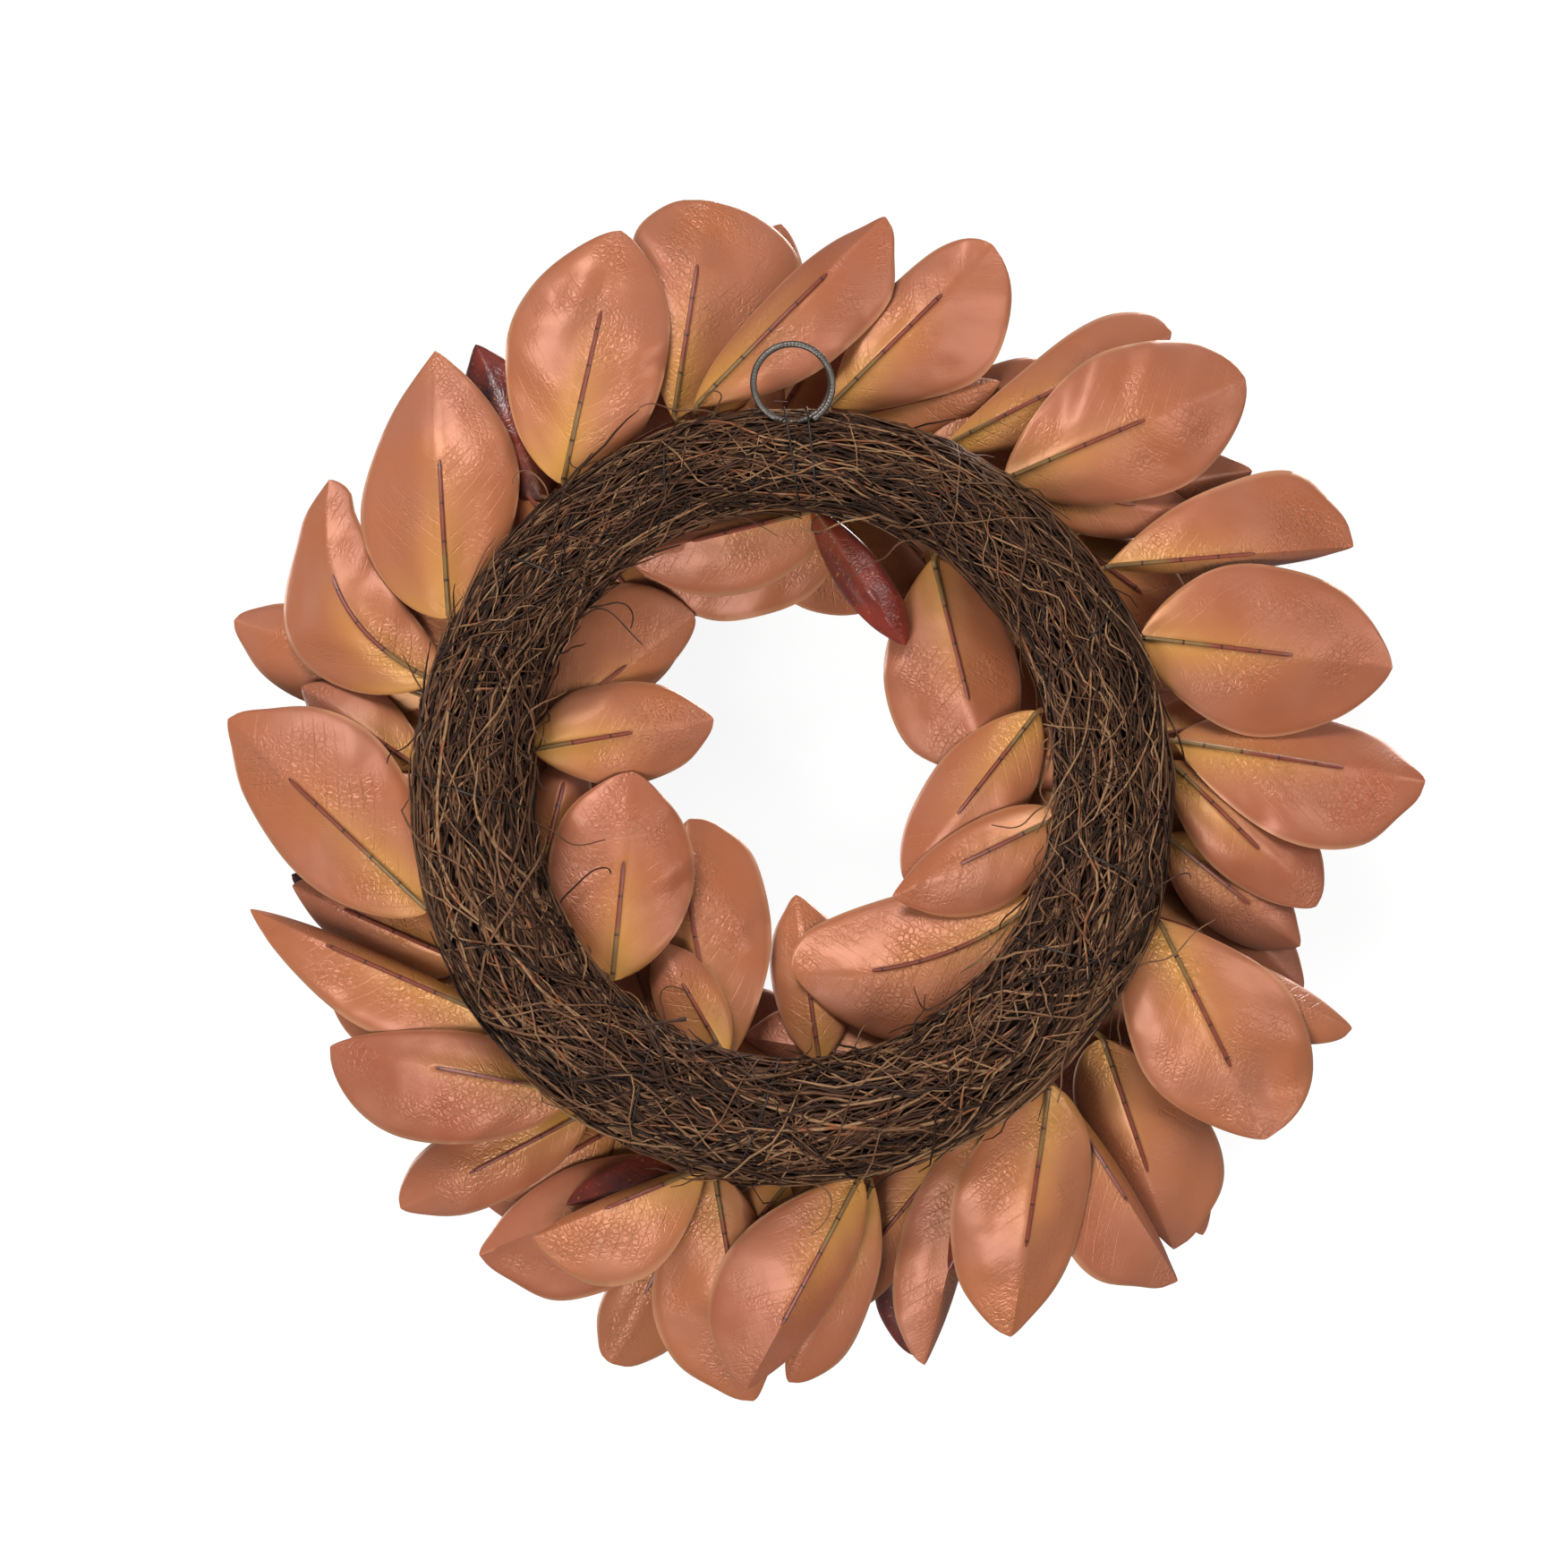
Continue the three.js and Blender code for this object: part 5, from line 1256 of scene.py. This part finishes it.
# Its surface has two sets of low ridges that wind round it, as the twigs do
core_turn = np.arange(CORE_SIDES) * 2 * np.pi / CORE_SIDES
core_angle, core_turn = np.meshgrid(ring_angle, core_turn, indexing="ij")
ridges = 0.7 * np.sin(9 * core_turn + 2 * core_angle) + 0.5 * np.sin(5 * core_turn - 7 * core_angle)
core_points = bundle_point(core_angle, core_turn, bundle_radius(core_angle) - CORE_DEPTH + ridges)
core_parts = MeshParts()
core_faces = grid_faces(RING_STATIONS + 1, CORE_SIDES, closed=True) % (RING_STATIONS * CORE_SIDES)
core_parts.add(core_points, core_faces, 0)
# The core's near black colour is painted shade, seen in the gaps between the twigs
core = core_parts.make("twigs_core", [painted_shade_bark])
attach(core, "root")
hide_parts("twig_ring")

# %% [markdown]
# ## Wires and the hanging ring
#
# Dark florist's wire binds the twigs in nine places and lashes the steel ring on. The ring is one length of
# thick steel wire, bent round until its ends lie side by side. All of them are tubes along the same paths as
# the solid pieces.

# %% Metal materials
# Painted iron wire: nearly black, a little shiny
dark_wire, tree, shader = new_material("dark_painted_iron_wire")
metres = add_node(tree, "ShaderNodeTexCoord").outputs["Object"]
wear = add_node(tree, "ShaderNodeTexNoise", {"Vector": metres, "Scale": 240.0, "Detail": 2.0})
wire_colour = add_node(tree, "ShaderNodeMix", {0: wear, 6: "#15110F", 7: "#3A2F29"}, data_type="RGBA")
set_inputs(tree, shader, {"Base Color": wire_colour, "Roughness": 0.45, "Metallic": 0.3})

# Drawn steel, dulled grey: fine marks across it from the bending rollers
dull_steel, tree, shader = new_material("drawn_gunmetal_steel")
metres = add_node(tree, "ShaderNodeTexCoord").outputs["Object"]
stain = add_node(tree, "ShaderNodeTexNoise", {"Vector": metres, "Scale": 120.0, "Detail": 3.0})
steel_colour = add_node(tree, "ShaderNodeMix", {0: stain, 6: "#514C47", 7: "#7A746D"}, data_type="RGBA")
place = add_node(tree, "ShaderNodeUVMap", uv_map="blade")
ticks = add_node(tree, "ShaderNodeTexWave", {"Vector": place.outputs[0], "Scale": 160.0, "Distortion": 1.5,
                                             "Detail": 1.0, "Detail Scale": 2.0}, bands_direction="X")
bump = add_node(tree, "ShaderNodeBump", {"Height": ticks, "Strength": 0.35, "Distance": 0.0003})
set_inputs(tree, shader, {"Base Color": steel_colour, "Metallic": 0.85, "Roughness": 0.42, "Normal": bump})

# %% Wires
BIND_ANGLES = (28, 62, 101.5, 119, 186, 208, 271, 313, 338)
BIND_LEAN = 3.0
TIES = ((0, -1.3), (3.4, -1.4))
WIRE_RADIUS = 0.6
WIRE_HEIGHT = 3.6
TIE_SWELL = 3.6  # how far a tie rises where it crosses the ring
TIE_TURN = math.radians(42)
TIE_FOCUS = 6
WIRE_STATIONS = 72


def dress_wire(node, angle, lean, swell):
    """A closed wire round the bundle that leans a little, and swells where it crosses the hanging ring."""
    turn = np.arange(WIRE_STATIONS) * 2 * np.pi / WIRE_STATIONS
    here = np.radians(angle + lean * np.cos(turn))
    height = WIRE_HEIGHT + swell * np.clip(np.cos(turn - TIE_TURN), 0, 1) ** TIE_FOCUS
    parts = MeshParts()
    add_tube(parts, bundle_point(here, turn, bundle_radius(here) + height), WIRE_RADIUS, 8, closed=True)
    piece = parts.make(node + "_wire", [dark_wire])
    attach(piece, "root")
    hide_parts(node)


for number, angle in enumerate(BIND_ANGLES):
    dress_wire("binding_wire_%d" % (number + 1), angle, BIND_LEAN if number % 2 == 0 else -BIND_LEAN, 0.0)
for number, (angle, lean) in enumerate(TIES):
    dress_wire("ring_tie_%d" % (number + 1), angle, lean, TIE_SWELL)

# %% Hanging ring
HANG_START = 70  # degrees
HANG_SWEEP = 440
HANG_WIDEN = 1.9
HANG_STEP_NEAR = 3.2
HANG_STATIONS = 180
WIDEN_SPAN = (0.8, 0.2)  # share of the wire where its end starts to widen out, and over which it does
STEP_SPAN = (0.75, 0.25)  # the same for its step towards the near side

share = np.linspace(0, 1, HANG_STATIONS)
turn = np.radians(HANG_START + HANG_SWEEP * share)
radius = HANG_RADIUS + HANG_WIDEN * rise(share, *WIDEN_SPAN)
near = HANG_NEAR + HANG_STEP_NEAR * rise(share, *STEP_SPAN)
ring_path = np.stack([radius * np.sin(turn), HANG_UP + radius * np.cos(turn), near], axis=-1)
ring_parts = MeshParts()
add_tube(ring_parts, ring_path, HANG_WIRE, 16)
ring_piece = ring_parts.make("hanging_ring_wire", [dull_steel])
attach(ring_piece, "root")
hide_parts("hanging_ring")
print("hanging ring across, mm:", round(2 * (HANG_RADIUS + HANG_WIRE), 1))
